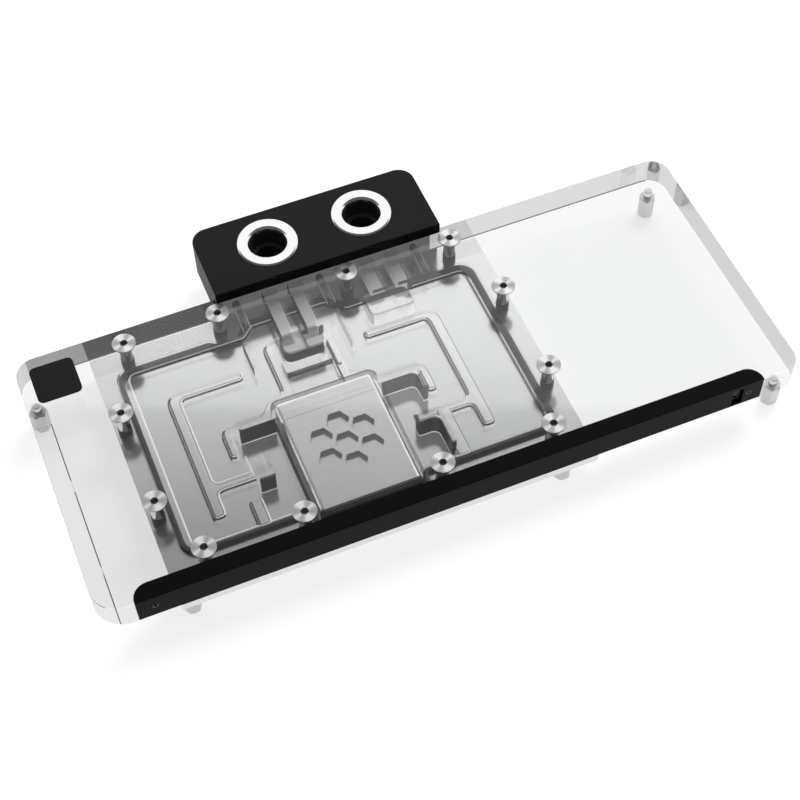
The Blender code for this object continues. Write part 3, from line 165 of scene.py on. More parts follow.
class Look:
    """A node tree, and the one way that nodes are added to it."""

    def __init__(self, name, tree=None):
        self.material = None
        if tree is None:
            self.material = bpy.data.materials.new(name)
            self.material.use_nodes = True
            tree = self.material.node_tree
        self.tree = tree
        self.tree.nodes.clear()

    def put(self, socket, entry):
        if isinstance(entry, Value):
            self.tree.links.new(entry.socket, socket)
        elif isinstance(entry, bpy.types.NodeSocket):
            self.tree.links.new(entry, socket)
        elif hasattr(socket.default_value, "__len__") and len(socket.default_value) == 4 and len(entry) == 3:
            socket.default_value = (*entry, 1.0)
        else:
            socket.default_value = entry

    def node(self, kind, settings=None, sockets=None):
        made = self.tree.nodes.new(kind)
        for name, setting in (settings or {}).items():
            setattr(made, name, setting)
        for name, entry in (sockets or {}).items():
            self.put(made.inputs[name], entry)
        return made

    def value(self, node, output=0):
        return Value(self, node.outputs[output])

    def place(self):
        return self.node("ShaderNodeTexCoord").outputs["Object"]

    def noise(self, scale, detail=3.0, roughness=0.5, stretch=None, vector=None):
        vector = vector or self.place()
        if stretch:
            vector = self.node("ShaderNodeMapping", None, {"Vector": vector, "Scale": stretch}).outputs[0]
        node = self.node("ShaderNodeTexNoise", None,
                         {"Vector": vector, "Scale": scale, "Detail": detail, "Roughness": roughness})
        return self.value(node, "Fac")

    def grey(self, value):
        sockets = dict.fromkeys(("Red", "Green", "Blue"), value)
        return self.node("ShaderNodeCombineColor", None, sockets).outputs[0]

    def blend(self, factor, first, second):
        node = self.node("ShaderNodeMix", {"data_type": 'RGBA'}, {0: factor, 6: first, 7: second})
        return node.outputs[2]

    def bump(self, height, strength, distance):
        node = self.node("ShaderNodeBump", None,
                         {"Strength": strength, "Distance": distance, "Height": height})
        return node.outputs[0]

    def finish(self, shader):
        kind = "ShaderNodeOutputWorld" if self.material is None else "ShaderNodeOutputMaterial"
        self.node(kind, None, {"Surface": shader})
        return self.material

    def principled(self, **sockets):
        names = {name.replace("_", " ").title(): entry for name, entry in sockets.items()}
        if "Specular Ior Level" in names:
            names["Specular IOR Level"] = names.pop("Specular Ior Level")
        return self.node("ShaderNodeBsdfPrincipled", None, names).outputs[0]


def even(level):
    return (level, level, level)


def passing(look, color):
    return look.node("ShaderNodeBsdfTransparent", None, {"Color": color}).outputs[0]


def mixed(look, factor, first, second):
    return look.node("ShaderNodeMixShader", None, {0: factor, 1: first, 2: second}).outputs[0]


def for_the_eye(look, seen, other):
    """One shader for what the eye meets first and another for all other light."""
    return mixed(look, look.value(look.node("ShaderNodeLightPath"), "Is Camera Ray"), other, seen)


def gloss(look, color, rough):
    return look.node("ShaderNodeBsdfGlossy", None, {"Color": color, "Roughness": rough}).outputs[0]


def acrylic_flat():
    """Polished top and bottom of the cover, with the same faint reflection from both sides."""
    look = Look("acrylic_flat")
    facing = look.value(look.node("ShaderNodeLayerWeight", None, {"Blend": 0.5}), "Facing")
    shine = 0.05 + 0.95 * facing.power(5.0)
    clear = passing(look, (0.90, 0.903, 0.905))
    return look.finish(for_the_eye(look, mixed(look, shine, clear, gloss(look, even(1.0), 0.01)), clear))


def acrylic_wall():
    """Outer walls and screw holes: from inside, light that meets them flat turns back."""
    look = Look("acrylic_wall")
    shine = look.value(look.node("ShaderNodeFresnel", None, {"IOR": 1.49}))
    turned_back = gloss(look, (0.72, 0.725, 0.725), 0.03)
    seen = mixed(look, shine, passing(look, (0.93, 0.933, 0.935)), turned_back)
    return look.finish(for_the_eye(look, seen, passing(look, even(0.80))))


def acrylic_clear():
    """Walls of the channels that hardly show, because light runs through them."""
    look = Look("acrylic_clear")
    haze = look.noise(300.0, 2.0)
    return look.finish(mixed(look, 0.02 + 0.03 * haze, passing(look, even(0.98)),
                             gloss(look, even(1.0), 0.1)))


def acrylic_deep(name, painted_shade_tint, turned_back, under):
    """Front walls of the deep wells, with painted shade: dark from inside, and a dark reflection painted in
    the plate under them.
    """
    look = Look(name)
    shine = look.value(look.node("ShaderNodeFresnel", None, {"IOR": 1.49}))
    # Painted shade: the view through the wall is darkened, and glossy rays from the plate see it darkened
    # again
    seen = mixed(look, shine, passing(look, painted_shade_tint), gloss(look, turned_back, 0.05))
    mirrored = look.value(look.node("ShaderNodeLightPath"), "Is Glossy Ray")
    other = mixed(look, mirrored, passing(look, even(0.95)), passing(look, under))
    return look.finish(for_the_eye(look, seen, other))


def dimming(name, scale, least, spread, painted_shade_tint, other, breaks=None):
    """Part of the acrylic with painted shade: it darkens the view through it, a little unevenly."""
    look = Look(name)
    mark = look.noise(scale, 2.0)
    if breaks:
        mark = mark.smooth(*breaks)
    seen = mixed(look, least + spread * mark, passing(look, even(1.0)), passing(look, even(painted_shade_tint)))
    return look.finish(for_the_eye(look, seen, passing(look, even(other))))


def acrylic_back():
    """Back wall of the cover, with painted light: a dimmer reflection painted at the left, a flat grey
    painted glow where the block sits, and a pale painted reflection at the right.
    """
    look = Look("acrylic_back")
    across = look.value(look.node("ShaderNodeSeparateXYZ", None, {"Vector": look.place()}), "X")
    past_left, past_right = (across.smooth(COVER_LOW.x + edge * MM, COVER_LOW.x + (edge + 0.3) * MM)
                             for edge in (SEAT_LEFT, SEAT_RIGHT))
    cloud = look.noise(60.0, 2.0)
    # Painted reflections: a grey glow where the block sits and a pale glow at the right, though neither is a
    # lamp
    grey = look.blend(cloud, even(0.13), even(0.16))
    light = look.blend(cloud, even(0.76), even(0.80))
    seat = mixed(look, 0.12, look.node("ShaderNodeEmission", None, {"Color": grey}).outputs[0],
                 gloss(look, (0.72, 0.725, 0.725), 0.05))
    pale = mixed(look, 0.72, gloss(look, (0.72, 0.725, 0.725), 0.03),
                 look.node("ShaderNodeEmission", None, {"Color": light}).outputs[0])
    # Painted shade: the reflection is darkened at the left
    turned_back = mixed(look, past_left, gloss(look, even(0.36), 0.03), pale)
    shine = look.value(look.node("ShaderNodeFresnel", None, {"IOR": 1.49}))
    free = mixed(look, shine, passing(look, (0.93, 0.933, 0.935)), turned_back)
    seen = mixed(look, past_left - past_right, free, seat)
    return look.finish(for_the_eye(look, seen, passing(look, even(0.80))))


def acrylic_bright_edge():
    """Rounded ceiling edges of the channels, with a painted highlight: a white matte share stands in for the
    light they catch.
    """
    look = Look("acrylic_bright_edge")
    mark = look.noise(600.0, 2.0)
    painted_glint = look.node("ShaderNodeBsdfDiffuse", None, {"Color": even(0.95)}).outputs[0]
    # Painted highlight: part white matte in place of a glint
    seen = mixed(look, 0.50 + 0.20 * mark, passing(look, even(1.0)), painted_glint)
    return look.finish(for_the_eye(look, seen, passing(look, even(0.97))))


def acrylic_milled():
    """Tool marks on the floor of the side channels, which look like thin frost."""
    look = Look("acrylic_milled")
    marks = look.noise(700.0, 3.0, stretch=(1.0, 0.15, 1.0))
    frost = look.node("ShaderNodeBsdfDiffuse", None, {"Color": even(0.85)}).outputs[0]
    return look.finish(mixed(look, 0.50 + 0.10 * marks, passing(look, (0.95, 0.953, 0.955)), frost))


def bright_nickel():
    look = Look("bright_nickel")
    cloud = look.noise(14.0, 3.0)
    grain = look.noise(900.0, 2.0, stretch=(1.0, 0.06, 1.0))
    color = look.blend(cloud, (0.86, 0.86, 0.865), even(0.90))
    rough = 0.15 + 0.04 * cloud
    return look.finish(look.principled(base_color=color, metallic=0.92, roughness=rough + 0.01 * grain))


def satin_nickel(name, low, high):
    look = Look(name)
    cloud = look.noise(30.0, 3.0)
    grain = look.noise(2500.0, 2.0)
    color = look.blend(cloud, low, high)
    rough = 0.20 + 0.05 * grain
    return look.finish(look.principled(base_color=color, metallic=0.95, roughness=rough,
                                       normal=look.bump(grain, 0.06, 0.00002)))


def plain(name, scale, detail, low, high, rough, spread, **more):
    """Material with one fine noise in its colour and its roughness."""
    look = Look(name)
    grain = look.noise(scale, detail)
    color = look.blend(grain, low, high)
    return look.finish(look.principled(base_color=color, roughness=rough + spread * grain, **more))


def turned_steel():
    """Screw heads: light and dark fans round the middle, painted highlights in the colour at the same angles
    on every head; the mesh's fine turning rings add real ones.
    """
    look = Look("turned_steel")
    plan = look.node("ShaderNodeSeparateXYZ", None,
                     {"Vector": look.node("ShaderNodeUVMap", {"uv_map": "rings"}).outputs[0]})
    around = compute(look, 'ARCTAN2', look.value(plan, "Y") - 0.5, look.value(plan, "X") - 0.5)
    upright = compute(look, 'COSINE', around - 1.75)
    slanted = compute(look, 'COSINE', around - 0.35)
    # Painted highlights: bright fans at fixed angles, the same on every head
    painted_highlight_fans = (upright * upright).power(4.0) + 0.6 * (slanted * slanted).power(12.0) + 0.3
    mottle = look.noise(900.0, 2.0)
    color = look.blend(painted_highlight_fans, (0.18, 0.18, 0.178), (0.80, 0.80, 0.795))
    return look.finish(look.principled(base_color=color, metallic=0.6, roughness=0.26 + 0.08 * mottle))


def black_acetal():
    look = Look("black_acetal")
    grain = look.noise(1800.0, 3.0)
    cloud = look.noise(40.0, 2.0)
    color = look.blend(cloud, even(0.006), (0.0085, 0.0085, 0.0087))
    body = look.principled(base_color=color, roughness=0.42 + 0.08 * grain, specular_ior_level=0.12,
                           normal=look.bump(grain, 0.05, 0.00002))
    # Painted light: the block glows faintly, in reflections only, to lighten its reflection in the plate
    painted_reflection_glow = look.node("ShaderNodeEmission", None, {"Color": even(1.0), "Strength": 0.10}).outputs[0]
    mirrored = look.value(look.node("ShaderNodeLightPath"), "Is Glossy Ray")
    return look.finish(mixed(look, mirrored, body, painted_reflection_glow))


def black_aluminium():
    look = Look("black_aluminium")
    grain = look.noise(1500.0, 3.0, stretch=(0.1, 1.0, 1.0))
    cloud = look.noise(25.0, 2.0)
    color = look.blend(cloud, even(0.0015), even(0.003))
    return look.finish(look.principled(base_color=color, roughness=0.4 + 0.08 * grain,
                                       specular_ior_level=0.06, normal=look.bump(grain, 0.04, 0.00002)))


ACRYLIC_FLAT = acrylic_flat()
ACRYLIC_WALL = acrylic_wall()
ACRYLIC_MILLED = acrylic_milled()
ACRYLIC_CLEAR = acrylic_clear()
# Painted shade on the front walls of the deep wells, at three strengths
ACRYLIC_DEEP = acrylic_deep("acrylic_deep", even(0.9), even(0.72), even(0.30))
ACRYLIC_WELL = acrylic_deep("acrylic_well", even(0.7), even(0.56), even(0.93))
ACRYLIC_DARK = acrylic_deep("acrylic_dark", even(0.3), even(0.24), even(0.15))
ACRYLIC_BACK = acrylic_back()
# Painted shade on rounded edges, which stands in for the way they bend the view away to the dark room, and on
# parts of them that dim it a little
DARK_EDGE = dimming("acrylic_dark_edge", 600.0, 0.82, 0.12, 0.02, 0.9)
SOFT_EDGE = dimming("acrylic_soft_edge", 600.0, 0.42, 0.16, 0.12, 0.99)
BRIGHT_EDGE = acrylic_bright_edge()
# Small bevels at the left edge, with painted shade that shows as thin dark lines with a few breaks
EDGE_LINE = dimming("acrylic_edge_line", 160.0, 0.25, 0.70, 0.03, 0.9, (0.30, 0.36))
# Ceiling of the inlet well, with painted shade for the dark of the block behind it
ACRYLIC_SHADE = dimming("acrylic_shade", 90.0, 0.46, 0.15, 0.1, 0.9)
COVER_LOOKS = (ACRYLIC_FLAT, ACRYLIC_WALL, ACRYLIC_MILLED, ACRYLIC_CLEAR, ACRYLIC_DEEP, ACRYLIC_DARK,
               DARK_EDGE, SOFT_EDGE, BRIGHT_EDGE, EDGE_LINE, ACRYLIC_SHADE, ACRYLIC_BACK, ACRYLIC_WELL)
BRIGHT_NICKEL = bright_nickel()
SATIN_NICKEL = satin_nickel("satin_nickel", (0.82, 0.82, 0.805), (0.86, 0.86, 0.845))
# Darker copy of the satin nickel: painted shade for the core's back and right bevels
SATIN_SHADE = satin_nickel("satin_shade", (0.36, 0.36, 0.355), (0.40, 0.40, 0.395))
CHROME = plain("polished_chrome", 120.0, 3.0, even(0.66), even(0.70), 0.05, 0.04, metallic=1.0)
TURNED_STEEL_WITH_PAINTED_FANS = turned_steel()
# Painted shade: near-black steel for the screw shanks and the insides of their sockets, which sit out of the
# light
STEEL_WITH_PAINTED_SHADE = plain("steel_with_painted_shade", 900.0, 2.0, even(0.045), even(0.075), 0.35, 0.1, metallic=0.4)
PLATED_STEEL = plain("plated_steel", 500.0, 3.0, even(0.74), even(0.82), 0.34, 0.1, metallic=0.7)
ACETAL = black_acetal()
# Insides of the ports, smoother than the block's faces and painted lighter, a painted glint
TURNED_ACETAL_WITH_PAINTED_GLINT = plain("turned_acetal_with_painted_glint", 600.0, 3.0, even(0.022), even(0.034), 0.22, 0.06)
BLACK_ALUMINIUM = black_aluminium()
RUBBER = plain("black_rubber", 1200.0, 3.0, even(0.018), even(0.032), 0.55, 0.15)
BADGE_BLACK = plain("badge_black", 900.0, 3.0, even(0.006), (0.009, 0.009, 0.0095), 0.38, 0.06,
                    specular_ior_level=0.12)
SOCKET_PLASTIC = plain("socket_plastic", 1500.0, 3.0, even(0.006), even(0.012), 0.45, 0.1)
LAMP_BOARD = plain("lamp_board", 300.0, 3.0, (0.78, 0.78, 0.74), (0.88, 0.88, 0.85), 0.5, 0.1)


def spot(x, y, z=0.0):
    """Point of the frame from millimetres on the cover."""
    return Vector((COVER_LOW.x + x * MM, COVER_HIGH.y - y * MM, COVER_HIGH.z + z * MM))


def deselect():
    bpy.ops.object.select_all(action='DESELECT')


def pick(piece):
    deselect()
    piece.select_set(True)
    bpy.context.view_layer.objects.active = piece


def corner_arc(before, corner, after, radius):
    if radius <= 0.0:
        return [corner]
    to_before = (before - corner).normalized()
    to_after = (after - corner).normalized()
    half = to_before.angle(to_after) / 2.0
    centre = corner + (to_before + to_after).normalized() * radius / math.sin(half)
    start = corner + to_before * radius / math.tan(half) - centre
    turn = math.copysign(math.pi - 2.0 * half, to_after.x * to_before.y - to_after.y * to_before.x)
    steps = max(3, int(abs(turn) * 5.0 * (0.6 + radius / 3.0)))
    points = []
    for step in range(steps + 1):
        angle = turn * step / steps
        points.append(centre + Vector((start.x * math.cos(angle) - start.y * math.sin(angle),
                                       start.x * math.sin(angle) + start.y * math.cos(angle))))
    return points


def rounded(corners):
    """Closed outline from corners (x, y, radius)."""
    flat = [Vector(corner[:2]) for corner in corners]
    points = []
    for index, corner in enumerate(corners):
        points += corner_arc(flat[index - 1], flat[index], flat[(index + 1) % len(flat)], corner[2])
    return points


def box_corners(left, right, back, front, radius=0.0):
    return [(left, back, radius), (right, back, radius), (right, front, radius), (left, front, radius)]


def offset(corners, distances):
    """Corners of an outline whose edges moved outward; edge i runs from corner i to the next."""
    count = len(corners)
    flat = [Vector(corner[:2]) for corner in corners]
    side = math.copysign(1.0, sum(flat[i - 1].cross(flat[i]) for i in range(count)))
    along = [(flat[(i + 1) % count] - flat[i]).normalized() for i in range(count)]
    moved = []
    for i in range(count):
        first = flat[i] + Vector((along[i - 1].y, -along[i - 1].x)) * side * distances[i - 1]
        second = flat[i] + Vector((along[i].y, -along[i].x)) * side * distances[i]
        shift = (second - first).cross(along[i]) / along[i - 1].cross(along[i])
        point = first + along[i - 1] * shift
        turn = math.copysign(1.0, along[i - 1].cross(along[i]) * side)
        grown = corners[i][2] + (distances[i - 1] + distances[i]) / 2.0 * turn
        moved.append((point.x, point.y, max(grown, 0.0) if corners[i][2] else 0.0))
    return moved


def apply_all(piece):
    pick(piece)
    for modifier in list(piece.modifiers):
        bpy.ops.object.modifier_apply(modifier=modifier.name)


def flat_solid(name, loops, low, high):
    """Solid between two heights from closed outlines on the cover; further loops are holes."""
    curve = bpy.data.curves.new(name, 'CURVE')
    curve.dimensions = '2D'
    curve.fill_mode = 'BOTH'
    curve.extrude = (high - low) / 2.0 * MM
    for loop in loops:
        spline = curve.splines.new('POLY')
        spline.points.add(len(loop) - 1)
        for point, target in zip(spline.points, loop):
            place = spot(target.x, target.y)
            point.co = (place.x, place.y, 0.0, 1.0)
        spline.use_cyclic_u = True
    piece = bpy.data.objects.new(name, curve)
    bpy.context.scene.collection.objects.link(piece)
    piece.location.z = COVER_HIGH.z + (low + high) / 2.0 * MM
    pick(piece)
    bpy.ops.object.convert(target='MESH')
    piece = bpy.context.view_layer.objects.active
    bpy.ops.object.transform_apply(location=True, rotation=True, scale=True)
    bpy.ops.object.mode_set(mode='EDIT')
    bpy.ops.mesh.select_all(action='SELECT')
    bpy.ops.mesh.remove_doubles(threshold=0.000001)
    bpy.ops.mesh.normals_make_consistent(inside=False)
    bpy.ops.mesh.dissolve_limited(angle_limit=math.radians(0.05))
    bpy.ops.object.mode_set(mode='OBJECT')
    return piece


def rim_bevel(piece, width, segments, top=True, bottom=False, profile=0.5):
    """Round the rims of an extruded outline at its top, its bottom or both."""
    pick(piece)
    bpy.ops.object.mode_set(mode='EDIT')
    bpy.ops.mesh.select_all(action='DESELECT')
    shape = bmesh.from_edit_mesh(piece.data)
    high = max(vert.co.z for vert in shape.verts) - SAME_HEIGHT
    low = min(vert.co.z for vert in shape.verts) + SAME_HEIGHT
    for edge in shape.edges:
        heights = [vert.co.z for vert in edge.verts]
        level = (top and min(heights) > high) or (bottom and max(heights) < low)
        edge.select_set(level and edge.calc_face_angle(0.0) > math.radians(45.0))
    bmesh.update_edit_mesh(piece.data)
    bpy.ops.mesh.bevel(offset=width * MM, offset_type='OFFSET', segments=segments, profile=profile,
                       affect='EDGES', clamp_overlap=True)
    bpy.ops.object.mode_set(mode='OBJECT')


def combine(piece, operation, tools):
    for tool in tools:
        step = piece.modifiers.new(tool.name, 'BOOLEAN')
        step.operation = operation
        step.solver = 'EXACT'
        step.object = tool
        apply_all(piece)
        bpy.data.objects.remove(tool)


def carve(piece, *tools):
    """Cut tools out of a piece; the tools are used up."""
    combine(piece, 'DIFFERENCE', tools)


def unite(piece, *tools):
    combine(piece, 'UNION', tools)


def bar(name, radius, start, end, sides=32):
    """Round bar between two points, as a cutter."""
    run = end - start
    turn = run.to_track_quat('Z', 'Y').to_euler()
    deselect()
    bpy.ops.mesh.primitive_cylinder_add(vertices=sides, radius=radius * MM, depth=run.length,
                                        location=(start + end) / 2.0, rotation=turn)
    piece = bpy.context.object
    piece.name = name
    bpy.ops.object.transform_apply(location=True, rotation=True, scale=True)
    return piece


def block(name, left, right, back, front, low, high):
    """Box on the cover, as a cutter."""
    near = spot(left, front, low)
    far = spot(right, back, high)
    deselect()
    bpy.ops.mesh.primitive_cube_add(size=1.0, location=(near + far) / 2.0)
    piece = bpy.context.object
    piece.name = name
    piece.scale = far - near
    bpy.ops.object.transform_apply(location=True, rotation=True, scale=True)
    return piece


def turned(name, profile, centre, sides=64):
    """Solid spun from a side line of (radius, height) points in millimetres, drawn from its top down."""
    curve = bpy.data.curves.new(name, 'CURVE')
    curve.dimensions = '3D'
    spline = curve.splines.new('POLY')
    spline.points.add(len(profile) - 1)
    for point, (radius, height) in zip(spline.points, profile):
        point.co = (radius * MM, 0.0, height * MM, 1.0)
    spline.use_cyclic_u = profile[0][0] > 0.0
    piece = bpy.data.objects.new(name, curve)
    bpy.context.scene.collection.objects.link(piece)
    pick(piece)
    bpy.ops.object.convert(target='MESH')
    piece = bpy.context.view_layer.objects.active
    bpy.ops.object.mode_set(mode='EDIT')
    bpy.ops.mesh.select_all(action='SELECT')
    bpy.ops.mesh.spin(steps=sides, angle=2.0 * math.pi, center=(0.0, 0.0, 0.0), axis=(0.0, 0.0, 1.0))
    bpy.ops.mesh.select_all(action='SELECT')
    bpy.ops.mesh.remove_doubles(threshold=0.000001)
    bpy.ops.mesh.normals_make_consistent(inside=False)
    bpy.ops.object.mode_set(mode='OBJECT')
    piece.location = centre
    bpy.ops.object.transform_apply(location=True, rotation=True, scale=True)
    return piece


def hexagon(name, flats, centre, low, high, turn=0.0):
    deselect()
    radius = flats / 2.0 / math.cos(math.pi / 6.0)
    bpy.ops.mesh.primitive_cylinder_add(vertices=6, radius=radius * MM, depth=(high - low) * MM,
                                        location=centre + Vector((0.0, 0.0, (high + low) / 2.0 * MM)),
                                        rotation=(0.0, 0.0, turn))
    piece = bpy.context.object
    piece.name = name
    bpy.ops.object.transform_apply(location=True, rotation=True, scale=True)
    return piece


def dress(piece, look, smooth=35.0):
    """Give a finished piece its material, its body and smooth shading."""
    if look:
        piece.data.materials.clear()
        piece.data.materials.append(look)
    pick(piece)
    bpy.ops.object.shade_smooth_by_angle(angle=math.radians(smooth))
    shape = bmesh.new()
    shape.from_mesh(piece.data)
    for edge in shape.edges:
        if any(abs(face.normal.z) > 0.9999 for face in edge.link_faces) and edge.calc_face_angle(0.0) > 0.02:
            edge.smooth = False
    shape.to_mesh(piece.data)
    shape.free()
    flats = piece.modifiers.new("flats", 'WEIGHTED_NORMAL')
    flats.keep_sharp = True
    apply_all(piece)
    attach(piece, "root")


def screw_places():
    places = [(x, y) for y in SCREW_ROWS for x in SCREW_COLUMNS]
    return places + [(x, y) for x in SIDE_COLUMNS for y in SIDE_ROWS]


def sideways(side, amount):
    return FLOW_AXIS + side * amount


def loop_corners(side):
    outer, inner, end, link = (sideways(side, amount) for amount in (48.4, 43.7, 21.5, 24.5))
    return [(end, 25.4, 1.8), (outer, 25.4, 4.5), (outer, 76.9, 1.8), (inner, 76.9, 1.8), (inner, 67.7, 1.8),
            (link, 67.7, 0.0), (link, 63.8, 0.0), (inner, 63.8, 1.8), (inner, 29.3, 1.8), (end, 29.3, 1.8)]


def plenum_corners():
    """Shallow space behind the core: a back part, a leg on each side and two ribbons that spread sideways."""
    spread = [(17.6, 40.7, 2.0), (21.1, 44.7, 2.0), (36.0, 44.7, 3.8), (36.0, 57.4, 1.6), (32.4, 57.4, 1.6),
              (32.4, 49.6, 0.0)]
    right = [(102.9, 17.8, 3.6), (102.9, 38.5, 1.2)]
    right += [(sideways(1.0, amount), y, radius) for amount, y, radius in spread]
    left = [(sideways(-1.0, amount), y, radius) for amount, y, radius in reversed(spread)]
    return right + left + [(79.3, 38.5, 1.2), (79.3, 17.8, 3.6)]


def trench_corners():
    left, inner, right = (sideways(side, amount) for side, amount in ((-1.0, 31.2), (1.0, 30.3), (1.0, 32.2)))
    return [(left, 47.8, 0.4), (right, 47.8, 0.4), (right, 58.6, 0.6), (inner, 58.6, 0.4), (inner, 51.8, 2.5),
            (left, 51.8, 1.2)]


def right_well_corners():
    return [(114.9, 67.4, 0.8), (123.6, 67.4, 0.8), (123.6, 82.3, 0.8), (121.7, 82.3, 0.8),
            (121.7, 71.0, 2.5), (114.9, 71.0, 0.8)]


def seal_corners():
    """Middle line of the main seal."""
    return [(31.5, 10.3, 5.0), (63.4, 10.3, 1.8), (66.4, 12.2, 1.8), (74.1, 12.2, 1.8), (79.1, 6.6, 1.8),
            (105.3, 6.6, 1.8), (112.3, 11.7, 1.8), (158.0, 11.7, 5.0), (158.0, 84.7, 5.0), (110.7, 84.7, 1.8),
            (110.7, 92.3, 1.8), (72.8, 92.3, 1.8), (72.8, 84.7, 1.8), (31.5, 84.7, 5.0)]


def groove_corners():
    """Inner wall of the seal's groove, which runs wider of the seal at the back."""
    return [(34.6, 13.4, 2.4), (75.5, 13.4, 2.0), (79.3, 9.6, 2.0), (105.5, 9.6, 2.4), (111.5, 14.8, 2.4),
            (154.9, 14.8, 2.4), (154.9, 83.4, 2.4), (109.4, 83.4, 2.2), (109.4, 91.0, 1.2), (74.1, 91.0, 1.2),
            (74.1, 83.4, 2.2), (34.6, 83.4, 2.4)]


def strip_corners():
    return [(STRIP_LEFT, COVER_DEPTH, 0.0), (STRIP_RIGHT, COVER_DEPTH, 0.0), (STRIP_RIGHT, STRIP_BACK, 5.2),
            (STRIP_LEFT, STRIP_BACK, 5.2)]


def milled(name, corners, depth, fillet=FILLET):
    """Cutter for a channel in the cover's underside, with a rounded ceiling edge."""
    tool = flat_solid(name, [rounded(corners)], -COVER_THICK - PAST, depth - COVER_THICK)
    if fillet:
        rim_bevel(tool, fillet, 4)
    return tool


def groove_cutters():
    """Cutters for the seal's groove: the deep middle, the inner wall and the rounding between them."""
    outside, inside = seal_corners(), groove_corners()
    outer = rounded(offset(outside, [1.2] * len(outside)))
    ledge = offset(inside, [0.9] * len(inside))
    wall = rounded(offset(inside, [0.03] * len(inside)))
    return [flat_solid("groove", [outer, rounded(ledge)], -COVER_THICK - PAST, 2.28 - COVER_THICK),
            flat_solid("groove_wall", [outer, wall], -COVER_THICK - 1.9, 1.42 - COVER_THICK),
            cord_loop("groove_round", ledge, 0.9, 1.4 - COVER_THICK, 5)]


def well(name, left, right, back, front, radius, depth, fillet=FILLET):
    return milled(name, box_corners(left, right, back, front, radius), depth, fillet)


def water_cutters():
    """Cutters for the channels and wells, each at its own depth so that no two ceilings fall together."""
    plenum = milled("plenum", plenum_corners(), SHALLOW - 0.03)
    unite(plenum, well("inner_rim", 81.2, 102.4, 17.9, 44.3, 3.0, SHALLOW + 0.5, 0.4))
    land = flat_solid("land", [rounded(box_corners(83.2, 100.2, 33.0, 43.6, 0.8))], -COVER_THICK - 3.0, 0.0)
    unite(land, block("rib", 99.6, 100.2, 25.0, 34.0, -COVER_THICK - 3.0, 0.0))
    carve(plenum, land)
    return [milled("left_loop", loop_corners(-1.0), SHALLOW),
            milled("right_loop", loop_corners(1.0), SHALLOW),
            well("left_stub", sideways(-1.0, 36.2), sideways(-1.0, 31.4), 74.2, 85.0, 1.3, SHALLOW + 0.03),
            well("right_stub", sideways(1.0, 31.1), sideways(1.0, 36.5), 64.5, 85.0, 1.8, SHALLOW + 0.05),
            well("left_flat", sideways(-1.0, 32.1), sideways(-1.0, 25.6), 57.0, 67.7, 1.3, SHALLOW + 0.07),
            plenum,
            milled("trench", trench_corners(), DEEP, 0.4),
            well("left_well", sideways(-1.0, 31.0), sideways(-1.0, 25.2), 66.5, 71.7, 0.8, DEEP - 0.06, 0.4),
            well("inlet_well", 84.6, 99.4, 20.8, 29.4, 2.6, DEEP + 0.04, 0.5),
            well("outlet_well", 117.5, 134.0, 13.0, 23.8, 2.5, 6.0, 0.5),
            well("left_slit", 73.6, 74.6, 16.0, 28.0, 0.45, 5.0, 0.0),
            well("right_slit", 107.7, 108.7, 15.0, 30.0, 0.45, 5.0, 0.0),
            milled("right_well", right_well_corners(), DEEP - 0.04, 0.4),
            well("core_pocket", CORE_LEFT - 1.5, CORE_RIGHT + 1.5, CORE_BACK - 0.8, CORE_FRONT + 0.6, 3.0,
                 DEEP - 0.1, 1.3),
            well("side_slot", 100.2, 102.0, 25.5, 36.5, 0.8, 4.6, 0.5)]


def hole_cutters():
    """Cutters for the channels from the block, the block's screws, the cover's screws and the studs."""
    tools = []
    for middle, into in TUNNELS:
        for x in (middle - TUNNEL_SPREAD, middle + TUNNEL_SPREAD):
            tools.append(block("channel", x - TUNNEL_HALF, x + TUNNEL_HALF, 0.8, into, TUNNEL_FLOOR,
                               TUNNEL_ROOF))
    for x in BLOCK_SCREWS:
        tools.append(bar("terminal_bore", 1.5, spot(x, 0.8, FLOW_DROP), spot(x, 12.5, FLOW_DROP)))
    head, shaft = SCREW_HEAD + SCREW_GAP, SCREW_SHAFT + SCREW_GAP
    cone_end = -SCREW_RIM - (SCREW_HEAD - SCREW_SHAFT)
    profile = [(0.0, PAST), (head, PAST), (head, -SCREW_RIM), (shaft, cone_end), (shaft, -COVER_THICK - PAST),
               (0.0, -COVER_THICK - PAST)]
    for x, y in screw_places():
        tools.append(turned("screw_hole", profile, spot(x, y), 48))
    for x, y in STUDS:
        tools.append(bar("stud_hole", STUD_HOLE, spot(x, y, -COVER_THICK - PAST),
                         spot(x, y, STUD_LONG - COVER_THICK)))
    return tools


def clear_cover():
    outline = [(0.0, 0.0, BACK_RADIUS), (COVER_LENGTH, 0.0, BACK_RADIUS),
               (COVER_LENGTH, COVER_DEPTH, RIGHT_FRONT_RADIUS), (0.0, COVER_DEPTH, LEFT_FRONT_RADIUS)]
    cover = flat_solid("clear_cover", [rounded(outline)], -COVER_THICK, 0.0)
    rim_bevel(cover, EDGE_ROUND, 2, top=True, bottom=True)
    rebate = offset(strip_corners(), (2.0, 0.15, 0.15, 0.15))
    carve(cover, flat_solid("rebate", [rounded(rebate)], -COVER_THICK - PAST, PAST))
    relief = block("relief", -PAST, 6.0, 20.7, COVER_DEPTH + PAST, -COVER_THICK - PAST, 1.0 - COVER_THICK)
    rim_bevel(relief, 0.35, 1)
    carve(cover, relief)
    carve(cover, *groove_cutters())
    carve(cover, *water_cutters())
    carve(cover, *hole_cutters())
    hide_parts("top_cover")
    dress(cover, ACRYLIC_FLAT, 30.0)
    for look in COVER_LOOKS[1:]:
        cover.data.materials.append(look)
    for face in cover.data.polygons:
        face.material_index = cover_look(face)


def beside_core(x, y):
    """Whether a place is in the narrow water space at the core's sides and back."""
    left = abs(x - CORE_LEFT + 0.8) < 0.9
    right = abs(x - CORE_RIGHT - 0.8) < 0.9
    behind = y < CORE_BACK + 0.7 and CORE_LEFT - 1.6 < x < CORE_RIGHT + 1.6
    return CORE_BACK - 1.0 < y and (left or right or behind)


